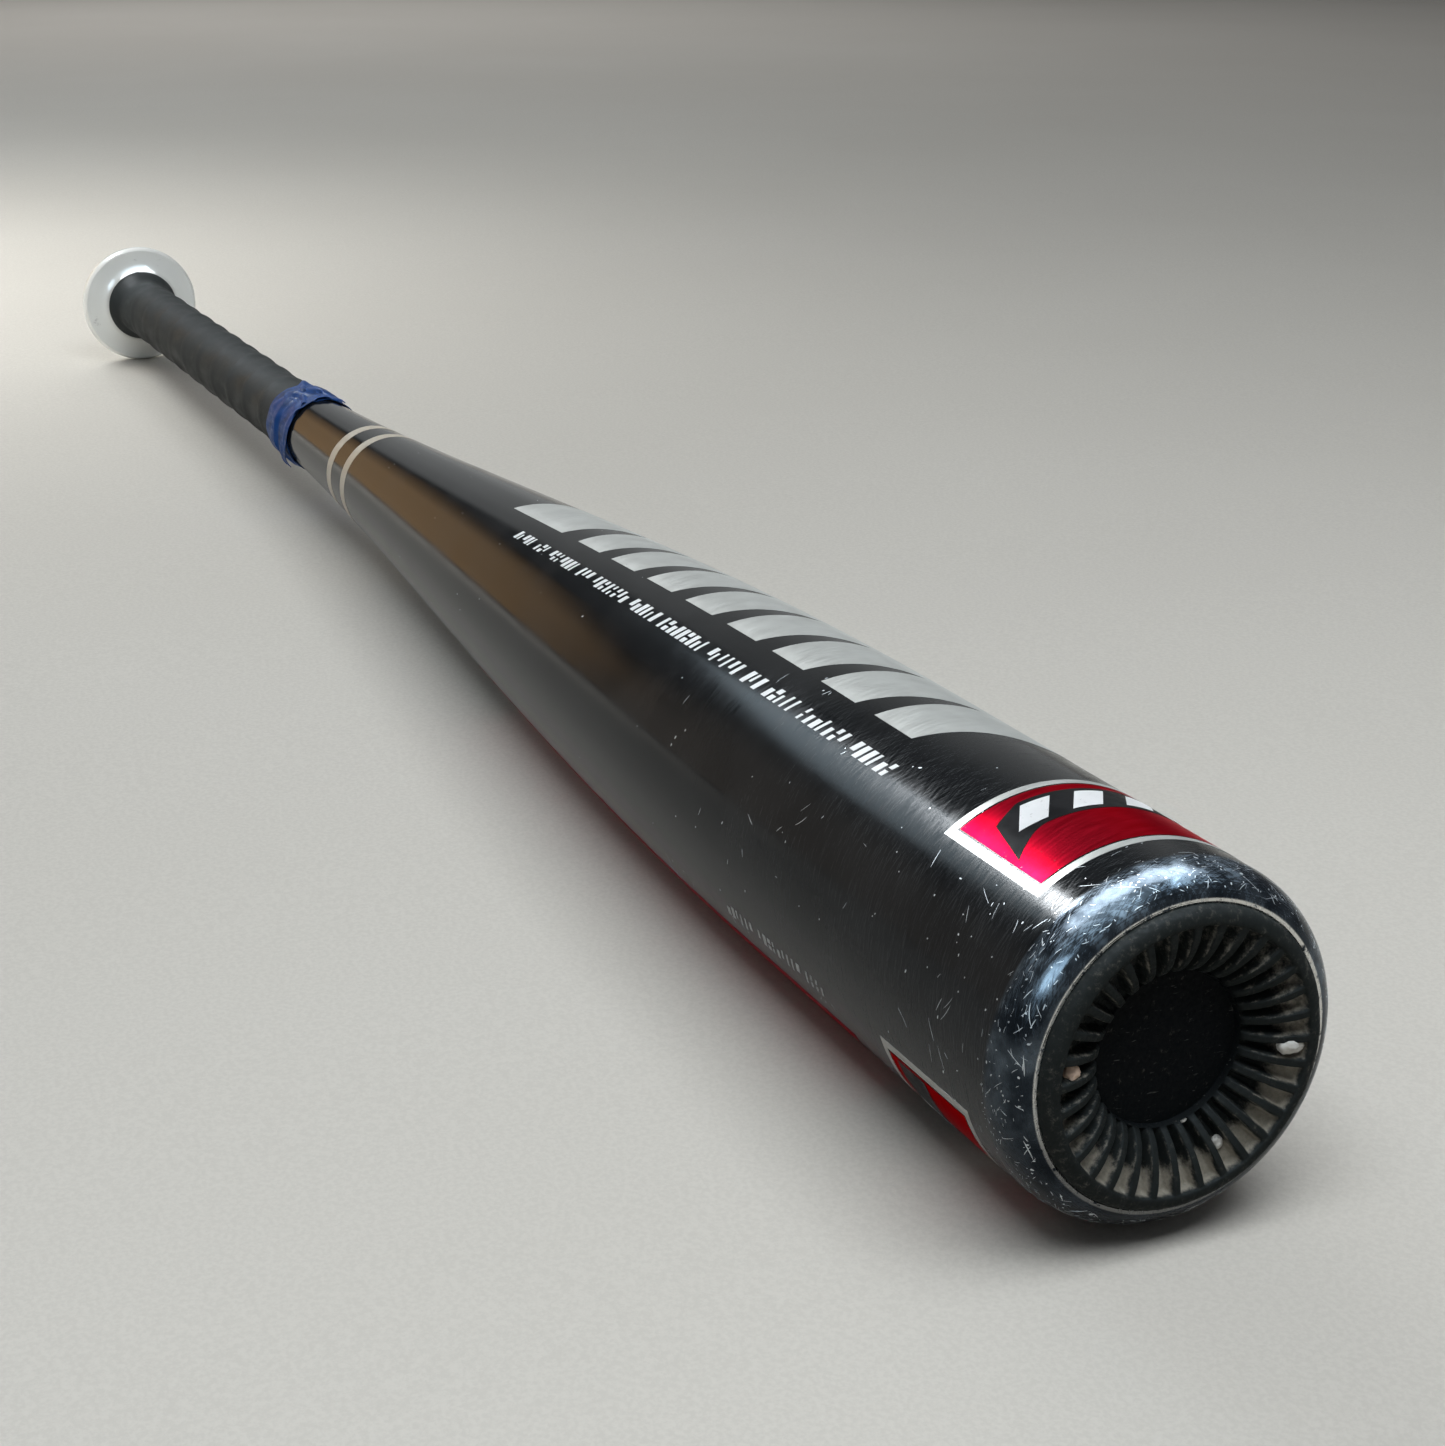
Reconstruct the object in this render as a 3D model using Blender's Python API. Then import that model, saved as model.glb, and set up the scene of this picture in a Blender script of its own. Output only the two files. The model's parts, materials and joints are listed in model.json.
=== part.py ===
"""Baseball bat: a one-piece aluminium barrel and handle with a ribbed rubber end
cap, a welded knob, a spiral grip wrap finished with vinyl tape, and thin foil and
print transfers.  The bat lies on the ground plane, knob towards -X.

Every piece is modelled along its own +X axis, from the knob's back face at x = 0
to the crown of the end cap, and hangs under the empty "bat_axis", which lays the
bat down on its barrel and knob.  A turn is an angle about that axis, from +Z
towards -Y.
"""

import math

import bmesh
import bpy

MM = 0.001

# ---- Driving dimensions (metres and degrees) -------------------------------
BAT_LENGTH = 838.0 * MM
BARREL_RADIUS = 33.35 * MM
HANDLE_RADIUS = 11.5 * MM
BARREL_WALL = 2.6 * MM
HANDLE_WALL = 2.3 * MM
FACETS = 32
FACET_STEP = 360.0 / FACETS

CROWN_HEIGHT = 2.2 * MM
LIP_X = BAT_LENGTH - CROWN_HEIGHT
LIP_RADIUS = 28.35 * MM
LIP_THICKNESS = 2.2 * MM
LIP_BEVEL = 0.8 * MM
SHOULDER_LENGTH = 7.8 * MM
SHOULDER_STEPS = 4

TAPER_TOP_X = LIP_X - 110.0 * MM
TAPER_FOOT_X = LIP_X - 590.0 * MM
TAPER_STEPS = 22

KNOB_RADIUS = 25.4 * MM
KNOB_HEIGHT = 16.3 * MM
KNOB_NECK_RADIUS = 13.4 * MM
KNOB_RIM_X = 6.6 * MM
KNOB_RIM_ROUND = 3.9 * MM
KNOB_RIM_CROWN = 2.4 * MM
KNOB_BACK_RADIUS = 21.0 * MM
KNOB_BACK_EDGE = 0.9 * MM
KNOB_BACK_ROUND = 1.6 * MM
RIM_STEPS = 4
FLARE_STEPS = 4
SOCKET_DEPTH = 9.5 * MM
SOCKET_BOTTOM_X = KNOB_HEIGHT - SOCKET_DEPTH

GAP = 0.25 * MM
CLEARANCE = 0.3 * MM

CAP_RING_RADIUS = 24.6 * MM
CAP_DISC_RADIUS = 14.4 * MM
CAP_DISC_DEPTH = 7.1 * MM
CAP_FLANGE_RADIUS = 30.1 * MM
CAP_SKIRT_LENGTH = 13.0 * MM
CAP_WALL = 2.4 * MM
CAP_CROWN_FLAT = 0.5 * MM
CAP_CROWN_ROUND = (1.0 * MM, 2.2 * MM)
CAP_NECK_GAP = 0.5 * MM
CAP_FLANGE_THICKNESS = 2.5 * MM
CAP_EDGE_STEP = 1.2 * MM
CAP_EDGE_WIDTH = 0.3 * MM
CAP_RIM_DROP = 0.2 * MM
CUP_STEPS = 5
CUP_ROUNDNESS = 1.8
CUP_STEEPNESS = 0.75
RIB_COUNT = 32
RIB_HEIGHT = 1.9 * MM
RIB_TOP_SHARE = 0.28
RIB_FOOT_SHARE = 0.46
RIB_DEPTH_FROM = 0.15
RIB_DEPTH_SPAN = 0.7

GRIP_START_X = KNOB_HEIGHT + 0.5 * MM
GRIP_END_X = LIP_X - 536.0 * MM
GRIP_PITCH = 25.0 * MM
GRIP_SEAM = 0.4 * MM
GRIP_THICKNESS = 0.85 * MM
GRIP_FIRST_WIDTH = 2.0 * MM

TAPE_START_X = LIP_X - 548.0 * MM
TAPE_END_X = LIP_X - 522.0 * MM
TAPE_THICKNESS = 0.3 * MM
TAPE_LAYER = 0.45 * MM
TAPE_FIRST_TURN = -34
TAPE_LAST_TURN = 495
TAPE_TAIL_TURN = 36
TAPE_TAIL_LIFT = 2.2 * MM

PRINT_THICKNESS = 0.2 * MM
PRINT_STEP = FACET_STEP / 2
PRINT_STATION = 20.0 * MM

RING_CENTRES = (LIP_X - 441.8 * MM, LIP_X - 460.7 * MM)
RING_WIDTH = 6.0 * MM

PANEL_START_X = LIP_X - 46.5 * MM
PANEL_END_X = LIP_X - 15.0 * MM
PANEL_TURNS = (-72.5, 36.5)

BAR_FOOT_TURN = 15.0
BAR_HEAD_TURN = -50.0
RAIL_TURN = -56.0
BAR_SLANT = 10.0 * MM
FIRST_BAR_X = LIP_X - 306.0 * MM
FIRST_BAR_WIDTH = 38.0 * MM
BAR_WIDTH = 15.0 * MM
BAR_PITCH = 23.1 * MM
BARS_START_X = LIP_X - 256.0 * MM
BAR_COUNT = 8

WHITE_LINE_TURNS = (25.0, 33.0)
WHITE_LINE_X = (LIP_X - 285.0 * MM, LIP_X - 72.0 * MM)
GREY_LINE_TURNS = (108.0, 113.5)
GREY_LINE_X = (LIP_X - 114.0 * MM, LIP_X - 67.0 * MM)

HALF_TURN = 180.0


# ---- Shape helpers ----------------------------------------------------------
def clear_scene():
    for old in list(bpy.data.objects):
        bpy.data.objects.remove(old, do_unlink=True)


def body_radius(x):
    """Outer radius of the bare bat, from the handle to the end of the cylinder."""
    share = (x - TAPER_FOOT_X) / (TAPER_TOP_X - TAPER_FOOT_X)
    share = min(max(share, 0.0), 1.0)
    blend = share * share * (3.0 - 2.0 * share)
    return HANDLE_RADIUS + (BARREL_RADIUS - HANDLE_RADIUS) * blend


def at(x, radius, turn):
    angle = math.radians(turn)
    return (x, -radius * math.sin(angle), radius * math.cos(angle))


def steps_between(start, end, step):
    """start, end and every multiple of step between them, in order."""
    low, high = min(start, end), max(start, end)
    values = [low]
    count = math.floor(low / step) + 1
    while count * step < high - step * 0.05:
        if count * step > low + step * 0.05:
            values.append(count * step)
        count += 1
    values.append(high)
    return values


def spread(start, end, count):
    return [start + (end - start) * i / count for i in range(count + 1)]


def material(name, color, roughness, metallic=0.0):
    made = bpy.data.materials.new(name)
    made.use_nodes = True
    shader = made.node_tree.nodes["Principled BSDF"]
    shader.inputs["Base Color"].default_value = (*color, 1.0)
    shader.inputs["Roughness"].default_value = roughness
    shader.inputs["Metallic"].default_value = metallic
    return made


def place(name, bm, surface, parent):
    """Turn the mesh being built into a smooth-shaded object under the parent."""
    bmesh.ops.recalc_face_normals(bm, faces=bm.faces)
    bmesh.ops.triangulate(bm, faces=bm.faces)
    mesh = bpy.data.meshes.new(name)
    bm.to_mesh(mesh)
    bm.free()
    mesh.shade_smooth()
    mesh.set_sharp_from_angle(angle=math.radians(35.0))
    mesh.materials.append(surface)
    made = bpy.data.objects.new(name, mesh)
    bpy.context.collection.objects.link(made)
    made.parent = parent
    return made


def facet_turns():
    """Corner angles, placed so that a flat facet faces straight down."""
    return [(i + 0.5) * FACET_STEP for i in range(FACETS)]


def lathe(profile, turns):
    """Turn a profile of (x, radius) pairs into a closed body.  An x may be a
    function of the turn's index.  A profile that starts on the axis also ends
    there, at two poles; any other profile joins its last point to its first."""
    bm = bmesh.new()
    rings = []
    for x, radius in profile:
        if radius == 0.0:
            rings.append([bm.verts.new((x, 0.0, 0.0))])
            continue
        ring = []
        for i, turn in enumerate(turns):
            here_x = x(i) if callable(x) else x
            ring.append(bm.verts.new(at(here_x, radius, turn)))
        rings.append(ring)
    has_poles = len(rings[0]) == 1
    pairs = list(zip(rings, rings[1:]))
    if not has_poles:
        pairs.append((rings[-1], rings[0]))
    count = len(turns)
    for first, second in pairs:
        for i in range(count):
            j = (i + 1) % count
            corners = [first[i % len(first)], first[j % len(first)]]
            corners += [second[j % len(second)], second[i % len(second)]]
            unique = list(dict.fromkeys(corners))
            bm.faces.new(unique)
    return bm


def skin(quads, lift, thickness):
    """A thin skin over the bat from (x, turn) quads: an outer and an inner layer,
    joined along the free edges."""
    bm = bmesh.new()
    layers = []
    for height in (lift, lift + thickness):
        corners = {}
        faces = []
        for quad in quads:
            face = []
            for x, turn in quad:
                key = (round(x, 7), round(turn % 360.0, 4))
                if key not in corners:
                    corners[key] = bm.verts.new(at(x, body_radius(x) + height, turn))
                face.append(corners[key])
            faces.append(bm.faces.new(face))
        layers.append((corners, faces))
    inner = layers[0][0]
    outer = layers[1][0]
    lookup = {vert: key for key, vert in outer.items()}
    outer_faces = set(layers[1][1])
    free_edges = [edge for edge in bm.edges if edge.is_boundary]
    for edge in free_edges:
        if edge.link_faces[0] not in outer_faces:
            continue
        first, second = edge.verts
        bm.faces.new((first, second, inner[lookup[second]], inner[lookup[first]]))
    return bm


def patch_quads(xs, turns):
    quads = []
    for x0, x1 in zip(xs, xs[1:]):
        for t0, t1 in zip(turns, turns[1:]):
            quads.append(((x0, t0), (x1, t0), (x1, t1), (x0, t1)))
    return quads


# ---- The pieces -------------------------------------------------------------
def barrel_shell(parent, surface):
    """The hollow alloy body: handle, taper, cylinder, shoulder and rolled lip."""
    body = [(SOCKET_BOTTOM_X, HANDLE_RADIUS), (KNOB_HEIGHT, HANDLE_RADIUS)]
    for x in spread(TAPER_FOOT_X, TAPER_TOP_X, TAPER_STEPS):
        body.append((x, body_radius(x)))
    shoulder = []
    for angle in spread(0.0, math.radians(90.0), SHOULDER_STEPS):
        x = LIP_X - SHOULDER_LENGTH * (1.0 - math.sin(angle))
        radius = LIP_RADIUS + (BARREL_RADIUS - LIP_RADIUS) * math.cos(angle)
        shoulder.append((x, radius))
    inner = [(LIP_X - LIP_THICKNESS, LIP_RADIUS)]
    inner.append((LIP_X - LIP_THICKNESS - LIP_BEVEL, BARREL_RADIUS - BARREL_WALL))
    for x, radius in reversed(body):
        fullness = (radius - HANDLE_RADIUS) / (BARREL_RADIUS - HANDLE_RADIUS)
        wall = HANDLE_WALL + (BARREL_WALL - HANDLE_WALL) * fullness
        inner.append((x, radius - wall))
    profile = body + shoulder + inner
    return place("barrel_shell", lathe(profile, facet_turns()), surface, parent)


def knob(parent, surface):
    """Rounded knob with a flat back and a blind socket for the handle's end."""
    socket_radius = HANDLE_RADIUS + CLEARANCE
    socket = [
        (SOCKET_BOTTOM_X - CLEARANCE, 0.0),
        (SOCKET_BOTTOM_X - CLEARANCE, socket_radius),
        (KNOB_HEIGHT, socket_radius),
    ]
    rim = []
    for angle in spread(math.radians(60.0), math.radians(-60.0), RIM_STEPS):
        x = KNOB_RIM_X + KNOB_RIM_ROUND * math.sin(angle)
        radius = KNOB_RADIUS - KNOB_RIM_CROWN * (1.0 - math.cos(angle))
        rim.append((x, radius))
    flare = []
    front_x, front_radius = rim[0]
    for angle in spread(0.0, math.radians(90.0), FLARE_STEPS)[:-1]:
        x = KNOB_HEIGHT - (KNOB_HEIGHT - front_x) * math.sin(angle)
        radius = front_radius - (front_radius - KNOB_NECK_RADIUS) * math.cos(angle)
        flare.append((x, radius))
    back = [(KNOB_BACK_EDGE, KNOB_BACK_RADIUS + KNOB_BACK_ROUND)]
    back += [(0.0, KNOB_BACK_RADIUS), (0.0, 0.0)]
    profile = socket + flare + rim + back
    return place("knob", lathe(profile, facet_turns()), surface, parent)


def rib_turns():
    """Four corners per rib: both feet and both edges of its flat top."""
    pitch = 360.0 / RIB_COUNT
    turns = []
    for rib in range(RIB_COUNT):
        for share in (-RIB_FOOT_SHARE, -RIB_TOP_SHARE, RIB_TOP_SHARE, RIB_FOOT_SHARE):
            turns.append((rib + share / 2) * pitch)
    return turns


def ribbed(x, depth):
    """Station function: the floor between ribs lies deeper than the rib tops."""

    def station(index):
        on_rib = index % 4 in (1, 2)
        return x if on_rib else x - depth

    return station


def end_cap(parent, surface):
    """Rubber cap: crowned ring, ribbed cup with a sunk disc, flange and skirt."""
    crown_x = BAT_LENGTH
    disc_x = BAT_LENGTH - CAP_DISC_DEPTH
    neck_radius = LIP_RADIUS - CAP_NECK_GAP
    flange_x = LIP_X - LIP_THICKNESS - LIP_BEVEL - CLEARANCE
    skirt_x = LIP_X - CAP_SKIRT_LENGTH
    skirt_radius = CAP_FLANGE_RADIUS - CAP_WALL
    profile = [(disc_x, 0.0), (disc_x, CAP_DISC_RADIUS - CAP_EDGE_WIDTH)]
    for share in spread(0.0, 1.0, CUP_STEPS):
        radius = CAP_DISC_RADIUS + (CAP_RING_RADIUS - CAP_DISC_RADIUS) * share
        full_rise = CAP_DISC_DEPTH - CAP_EDGE_STEP - CAP_RIM_DROP
        rise = full_rise * (1.0 - (1.0 - share) ** CUP_ROUNDNESS) ** CUP_STEEPNESS
        bulge = RIB_DEPTH_FROM + RIB_DEPTH_SPAN * share
        depth = RIB_HEIGHT * math.sin(math.radians(180.0 * bulge))
        profile.append((ribbed(disc_x + CAP_EDGE_STEP + rise, depth), radius))
    profile += [
        (crown_x, CAP_RING_RADIUS + CAP_CROWN_FLAT),
        (crown_x - CAP_CROWN_ROUND[0], CAP_RING_RADIUS + CAP_CROWN_ROUND[1]),
        (LIP_X + CLEARANCE, neck_radius),
        (flange_x, neck_radius),
        (flange_x, CAP_FLANGE_RADIUS),
        (skirt_x, CAP_FLANGE_RADIUS),
        (skirt_x, skirt_radius),
        (flange_x - CAP_FLANGE_THICKNESS, skirt_radius),
        (disc_x - CAP_WALL, CAP_DISC_RADIUS),
        (disc_x - CAP_WALL, 0.0),
    ]
    return place("end_cap", lathe(profile, rib_turns()), surface, parent)


def grip_wrap(parent, surface):
    """One strip wound along the handle, its turns laid edge to edge."""
    bm = bmesh.new()
    sections = []
    start = math.ceil((GRIP_FIRST_WIDTH + GRIP_SEAM) / GRIP_PITCH * FACETS)
    length = GRIP_END_X - GRIP_START_X
    last = math.floor((length - GRIP_FIRST_WIDTH) / GRIP_PITCH * FACETS) + FACETS
    for station in range(start, last):
        turn = (station + 0.5) * FACET_STEP
        run = station / FACETS * GRIP_PITCH
        low = GRIP_START_X + max(0.0, run - GRIP_PITCH)
        high = GRIP_START_X + min(length, run - GRIP_SEAM)
        section = []
        for x, height in ((low, 0.0), (high, 0.0), (high, 1.0), (low, 1.0)):
            radius = body_radius(x) + GAP + GRIP_THICKNESS * height
            section.append(bm.verts.new(at(x, radius, turn)))
        sections.append(section)
    bridge(bm, sections)
    return place("grip_wrap", bm, surface, parent)


def bridge(bm, sections):
    """Join equal closed sections in a row and cap both ends."""
    sides = len(sections[0])
    for first, second in zip(sections, sections[1:]):
        for i in range(sides):
            j = (i + 1) % sides
            bm.faces.new((first[i], first[j], second[j], second[i]))
    bm.faces.new(sections[0])
    bm.faces.new(list(reversed(sections[-1])))


def finish_tape(parent, surface):
    """Vinyl tape wound one and a half turns over the end of the grip, with a
    short tail that has come away from the surface."""
    grip_lift = GAP + GRIP_THICKNESS + GAP
    steps = (
        (TAPE_START_X, grip_lift),
        (GRIP_END_X + 0.8 * MM, grip_lift),
        (GRIP_END_X + 2.4 * MM, GAP),
        (TAPE_END_X, GAP),
    )
    bm = bmesh.new()
    sections = []
    for turn in steps_between(TAPE_FIRST_TURN, TAPE_LAST_TURN, PRINT_STEP):
        layer = (turn - TAPE_FIRST_TURN) / 360.0 * TAPE_LAYER
        loose = max(0.0, turn - (TAPE_LAST_TURN - TAPE_TAIL_TURN)) / TAPE_TAIL_TURN
        lift = layer + TAPE_TAIL_LIFT * loose * loose
        section = []
        for x, over in steps:
            section.append((x, body_radius(x) + over + lift))
        for x, over in reversed(steps):
            section.append((x, body_radius(x) + over + lift + TAPE_THICKNESS))
        sections.append([bm.verts.new(at(x, radius, turn)) for x, radius in section])
    bridge(bm, sections)
    return place("finish_tape", bm, surface, parent)


def ring_stripe(name, centre, parent, surface):
    turns = facet_turns()
    turns.append(turns[0] + 360.0)
    xs = spread(centre - RING_WIDTH / 2, centre + RING_WIDTH / 2, 1)
    return place(name, skin(patch_quads(xs, turns), GAP, PRINT_THICKNESS), surface, parent)


def foil_panel(name, offset, parent, surface):
    low, high = (turn + offset for turn in PANEL_TURNS)
    turns = steps_between(low, high, PRINT_STEP)
    xs = spread(PANEL_START_X, PANEL_END_X, 1)
    return place(name, skin(patch_quads(xs, turns), GAP, PRINT_THICKNESS), surface, parent)


def bar_edges():
    """(start, end) along the bat of each slanted bar, at its foot."""
    edges = [(FIRST_BAR_X, FIRST_BAR_X + FIRST_BAR_WIDTH)]
    for i in range(BAR_COUNT):
        start = BARS_START_X + i * BAR_PITCH
        edges.append((start, start + BAR_WIDTH))
    return edges


def bar_graphic(name, offset, parent, surface):
    """Slanted bars hanging from one long rail, like the teeth of a comb."""
    head_xs = []
    for start, end in bar_edges():
        head_xs += [start + BAR_SLANT, end + BAR_SLANT]
    rail_turns = [RAIL_TURN + offset, BAR_HEAD_TURN + offset]
    quads = patch_quads(head_xs, rail_turns)
    turns = steps_between(BAR_HEAD_TURN + offset, BAR_FOOT_TURN + offset, PRINT_STEP)
    reach = BAR_FOOT_TURN - BAR_HEAD_TURN
    for start, end in bar_edges():
        for t0, t1 in zip(turns, turns[1:]):
            shift0 = BAR_SLANT * (BAR_FOOT_TURN + offset - t0) / reach
            shift1 = BAR_SLANT * (BAR_FOOT_TURN + offset - t1) / reach
            top = ((start + shift0, t0), (end + shift0, t0))
            foot = ((end + shift1, t1), (start + shift1, t1))
            quads.append(top + foot)
    return place(name, skin(quads, GAP, PRINT_THICKNESS), surface, parent)


def print_line(name, xs, turn_range, parent, surface):
    turns = steps_between(*turn_range, PRINT_STEP)
    stations = spread(*xs, max(1, round((xs[1] - xs[0]) / PRINT_STATION)))
    quads = patch_quads(stations, turns)
    return place(name, skin(quads, GAP, PRINT_THICKNESS), surface, parent)


# ---- Laying the bat down ----------------------------------------------------
def lay_down(axis, pieces):
    """Tilt the axis until barrel and knob touch the ground together, then centre
    the bat's box over the origin."""
    points = [v.co.copy() for piece in pieces for v in piece.data.vertices]
    middle_x = BAT_LENGTH / 2
    knob_points = [(p.x, p.z) for p in points if p.x < middle_x]
    barrel_points = [(p.x, p.z) for p in points if p.x >= middle_x]

    def lowest(pairs, tilt):
        return min(x * math.sin(tilt) + z * math.cos(tilt) for x, z in pairs)

    low, high = 0.0, math.radians(3.0)
    for _ in range(60):
        tilt = (low + high) / 2
        if lowest(barrel_points, tilt) < lowest(knob_points, tilt):
            low = tilt
        else:
            high = tilt
    axis.rotation_euler = (0.0, -tilt, 0.0)
    turned_x = [p.x * math.cos(tilt) - p.z * math.sin(tilt) for p in points]
    across = [p.y for p in points]
    axis.location = (
        -(min(turned_x) + max(turned_x)) / 2,
        -(min(across) + max(across)) / 2,
        -lowest(barrel_points + knob_points, tilt),
    )


def build():
    clear_scene()
    axis = bpy.data.objects.new("bat_axis", None)
    bpy.context.collection.objects.link(axis)

    black = material("black_enamel", (0.018, 0.020, 0.022), 0.18)
    rubber = material("cap_rubber", (0.022, 0.023, 0.022), 0.75)
    white = material("knob_enamel", (0.86, 0.87, 0.85), 0.25)
    grip = material("grip_synthetic", (0.035, 0.037, 0.037), 0.65)
    vinyl = material("blue_vinyl", (0.035, 0.075, 0.24), 0.35)
    red = material("red_foil", (0.62, 0.02, 0.05), 0.28, 0.6)
    silver = material("silver_foil", (0.72, 0.73, 0.70), 0.35, 0.8)
    cream = material("cream_print", (0.72, 0.66, 0.56), 0.4)
    pale = material("white_print", (0.85, 0.86, 0.86), 0.4)
    grey = material("grey_print", (0.45, 0.46, 0.46), 0.4)

    pieces = [
        barrel_shell(axis, black),
        end_cap(axis, rubber),
        knob(axis, white),
        grip_wrap(axis, grip),
        finish_tape(axis, vinyl),
        ring_stripe("ring_stripe_barrel_side", RING_CENTRES[0], axis, cream),
        ring_stripe("ring_stripe_handle_side", RING_CENTRES[1], axis, cream),
        foil_panel("foil_panel_top", 0.0, axis, red),
        foil_panel("foil_panel_underside", HALF_TURN, axis, red),
        bar_graphic("bar_graphic_top", 0.0, axis, silver),
        bar_graphic("bar_graphic_underside", HALF_TURN, axis, red),
        print_line("print_line_white", WHITE_LINE_X, WHITE_LINE_TURNS, axis, pale),
        print_line("print_line_grey", GREY_LINE_X, GREY_LINE_TURNS, axis, grey),
    ]
    lay_down(axis, pieces)


build()
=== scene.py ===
"""Looks of the baseball bat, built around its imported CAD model.

Every piece is modelled along the bat's own axis: x runs from the knob's back face
to the crown of the end cap, and a turn is an angle about that axis in degrees, from
straight up towards the -Y side.  BAT_AXES carries those coordinates to the frame.
"""

import json
import math
import random

import bmesh
import bpy
from mathutils import Matrix, Quaternion, Vector, noise

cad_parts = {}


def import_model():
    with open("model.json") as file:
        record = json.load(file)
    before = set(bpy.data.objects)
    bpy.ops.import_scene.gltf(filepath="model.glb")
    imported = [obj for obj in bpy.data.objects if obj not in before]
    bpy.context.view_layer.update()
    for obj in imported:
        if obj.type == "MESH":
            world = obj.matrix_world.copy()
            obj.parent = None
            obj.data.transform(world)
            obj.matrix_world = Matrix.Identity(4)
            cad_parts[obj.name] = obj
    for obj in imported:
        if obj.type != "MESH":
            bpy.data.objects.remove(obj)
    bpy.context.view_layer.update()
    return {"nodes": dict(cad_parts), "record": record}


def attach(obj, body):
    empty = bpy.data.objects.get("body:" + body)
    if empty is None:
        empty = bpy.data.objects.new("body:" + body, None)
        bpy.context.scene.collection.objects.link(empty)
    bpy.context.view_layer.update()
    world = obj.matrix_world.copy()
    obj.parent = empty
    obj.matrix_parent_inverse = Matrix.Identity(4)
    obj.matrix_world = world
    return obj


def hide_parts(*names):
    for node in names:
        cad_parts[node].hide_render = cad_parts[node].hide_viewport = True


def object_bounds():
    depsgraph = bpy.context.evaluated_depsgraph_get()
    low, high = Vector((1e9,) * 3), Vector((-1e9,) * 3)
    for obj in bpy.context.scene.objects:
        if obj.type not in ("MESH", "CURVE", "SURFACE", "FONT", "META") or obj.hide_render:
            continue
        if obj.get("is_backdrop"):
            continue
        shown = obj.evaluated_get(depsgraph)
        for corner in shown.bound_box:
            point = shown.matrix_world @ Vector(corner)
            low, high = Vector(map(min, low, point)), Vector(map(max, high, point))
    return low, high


MM = 0.001

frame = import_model()


# ---- Where things are, from the frame ---------------------------------------
def bat_axes():
    """Matrix from bat coordinates to the frame, from the mount on the knob's back."""
    mount = next(m for m in frame["record"]["mounts"] if m["name"] == "knob_back")
    along = -Vector(mount["axis"]).normalized()
    up = Vector((-along.z, 0.0, along.x)).normalized()
    side = up.cross(along)
    place = Matrix((along, side, up)).transposed().to_4x4()
    place.translation = Vector(mount["pos_m"])
    return place


BAT_AXES = bat_axes()
FROM_FRAME = BAT_AXES.inverted()


def in_bat(node):
    """(x, radius) of every vertex of a CAD node, in bat coordinates."""
    points = [FROM_FRAME @ v.co for v in frame["nodes"][node].data.vertices]
    return [(p.x, math.hypot(p.y, p.z)) for p in points]


def reach(node):
    """(lowest, highest) x of a CAD node."""
    xs = [x for x, _ in in_bat(node)]
    return min(xs), max(xs)


SHELL = in_bat("barrel_shell")
SHELL_START = min(x for x, _ in SHELL)
LIP_X = max(x for x, _ in SHELL)
BARREL_RADIUS = max(r for _, r in SHELL)
HANDLE_RADIUS = max(r for x, r in SHELL if x < SHELL_START + MM)
KNOB_FRONT_X = reach("knob")[1]
KNOB_RADIUS = max(r for _, r in in_bat("knob"))
GRIP_START_X, GRIP_END_X = reach("grip_wrap")
TAPE_START_X, TAPE_END_X = reach("finish_tape")
PANEL_START_X, PANEL_END_X = reach("foil_panel_top")
BARS_START_X = reach("bar_graphic_top")[0]
WHITE_LINE_X = reach("print_line_white")
GREY_LINE_X = reach("print_line_grey")

# ---- Body shape ---------------------------------------------------------------
TAPER_TOP_X = LIP_X - 110.0 * MM
TAPER_FOOT_X = LIP_X - 590.0 * MM
LIP_RADIUS = 28.35 * MM
LIP_ROUND = 0.45 * MM
SHOULDER_LENGTH = 7.8 * MM
SHOULDER_ANGLES = (5.0, 80.0)
COLUMNS = 192

FOIL_LIFT = 0.02 * MM
FOIL_THICKNESS = 0.03 * MM
SECOND_LIFT = FOIL_LIFT * 2 + FOIL_THICKNESS
THIRD_LIFT = FOIL_LIFT * 3 + FOIL_THICKNESS * 2


def shoulder_points(count):
    """The rolled end from its crease to the lip, an arc scaled to its length."""
    first, last = (math.radians(a) for a in SHOULDER_ANGLES)
    full_x = math.sin(last) - math.sin(first)
    full_r = math.cos(first) - math.cos(last)
    points = []
    for i in range(count + 1):
        angle = first + (last - first) * i / count
        share_x = (math.sin(angle) - math.sin(first)) / full_x
        share_r = (math.cos(first) - math.cos(angle)) / full_r
        x = LIP_X - SHOULDER_LENGTH * (1.0 - share_x)
        radius = BARREL_RADIUS - (BARREL_RADIUS - LIP_RADIUS) * share_r
        points.append((x, radius))
    return points


SHOULDER = shoulder_points(24)


def body_radius(x):
    """Outer radius of the bare bat at x, shoulder included."""
    if x > SHOULDER[0][0]:
        for (x0, r0), (x1, r1) in zip(SHOULDER, SHOULDER[1:]):
            if x <= x1:
                return r0 + (r1 - r0) * (x - x0) / (x1 - x0)
        return LIP_RADIUS
    share = (x - TAPER_FOOT_X) / (TAPER_TOP_X - TAPER_FOOT_X)
    share = min(max(share, 0.0), 1.0)
    blend = share * share * (3.0 - 2.0 * share)
    return HANDLE_RADIUS + (BARREL_RADIUS - HANDLE_RADIUS) * blend


def at(x, radius, turn):
    """Point at x along the bat, this far from its axis, turned about it."""
    angle = math.radians(turn)
    return Vector((x, -radius * math.sin(angle), radius * math.cos(angle)))


def smooth(low, high, value):
    """0 at low, 1 at high, with a soft start and end; low may be the larger one."""
    share = min(max((value - low) / (high - low), 0.0), 1.0)
    return share * share * (3.0 - 2.0 * share)


def spread(start, end, count):
    """count + 1 even steps from start to end."""
    return [start + (end - start) * i / count for i in range(count + 1)]


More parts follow.
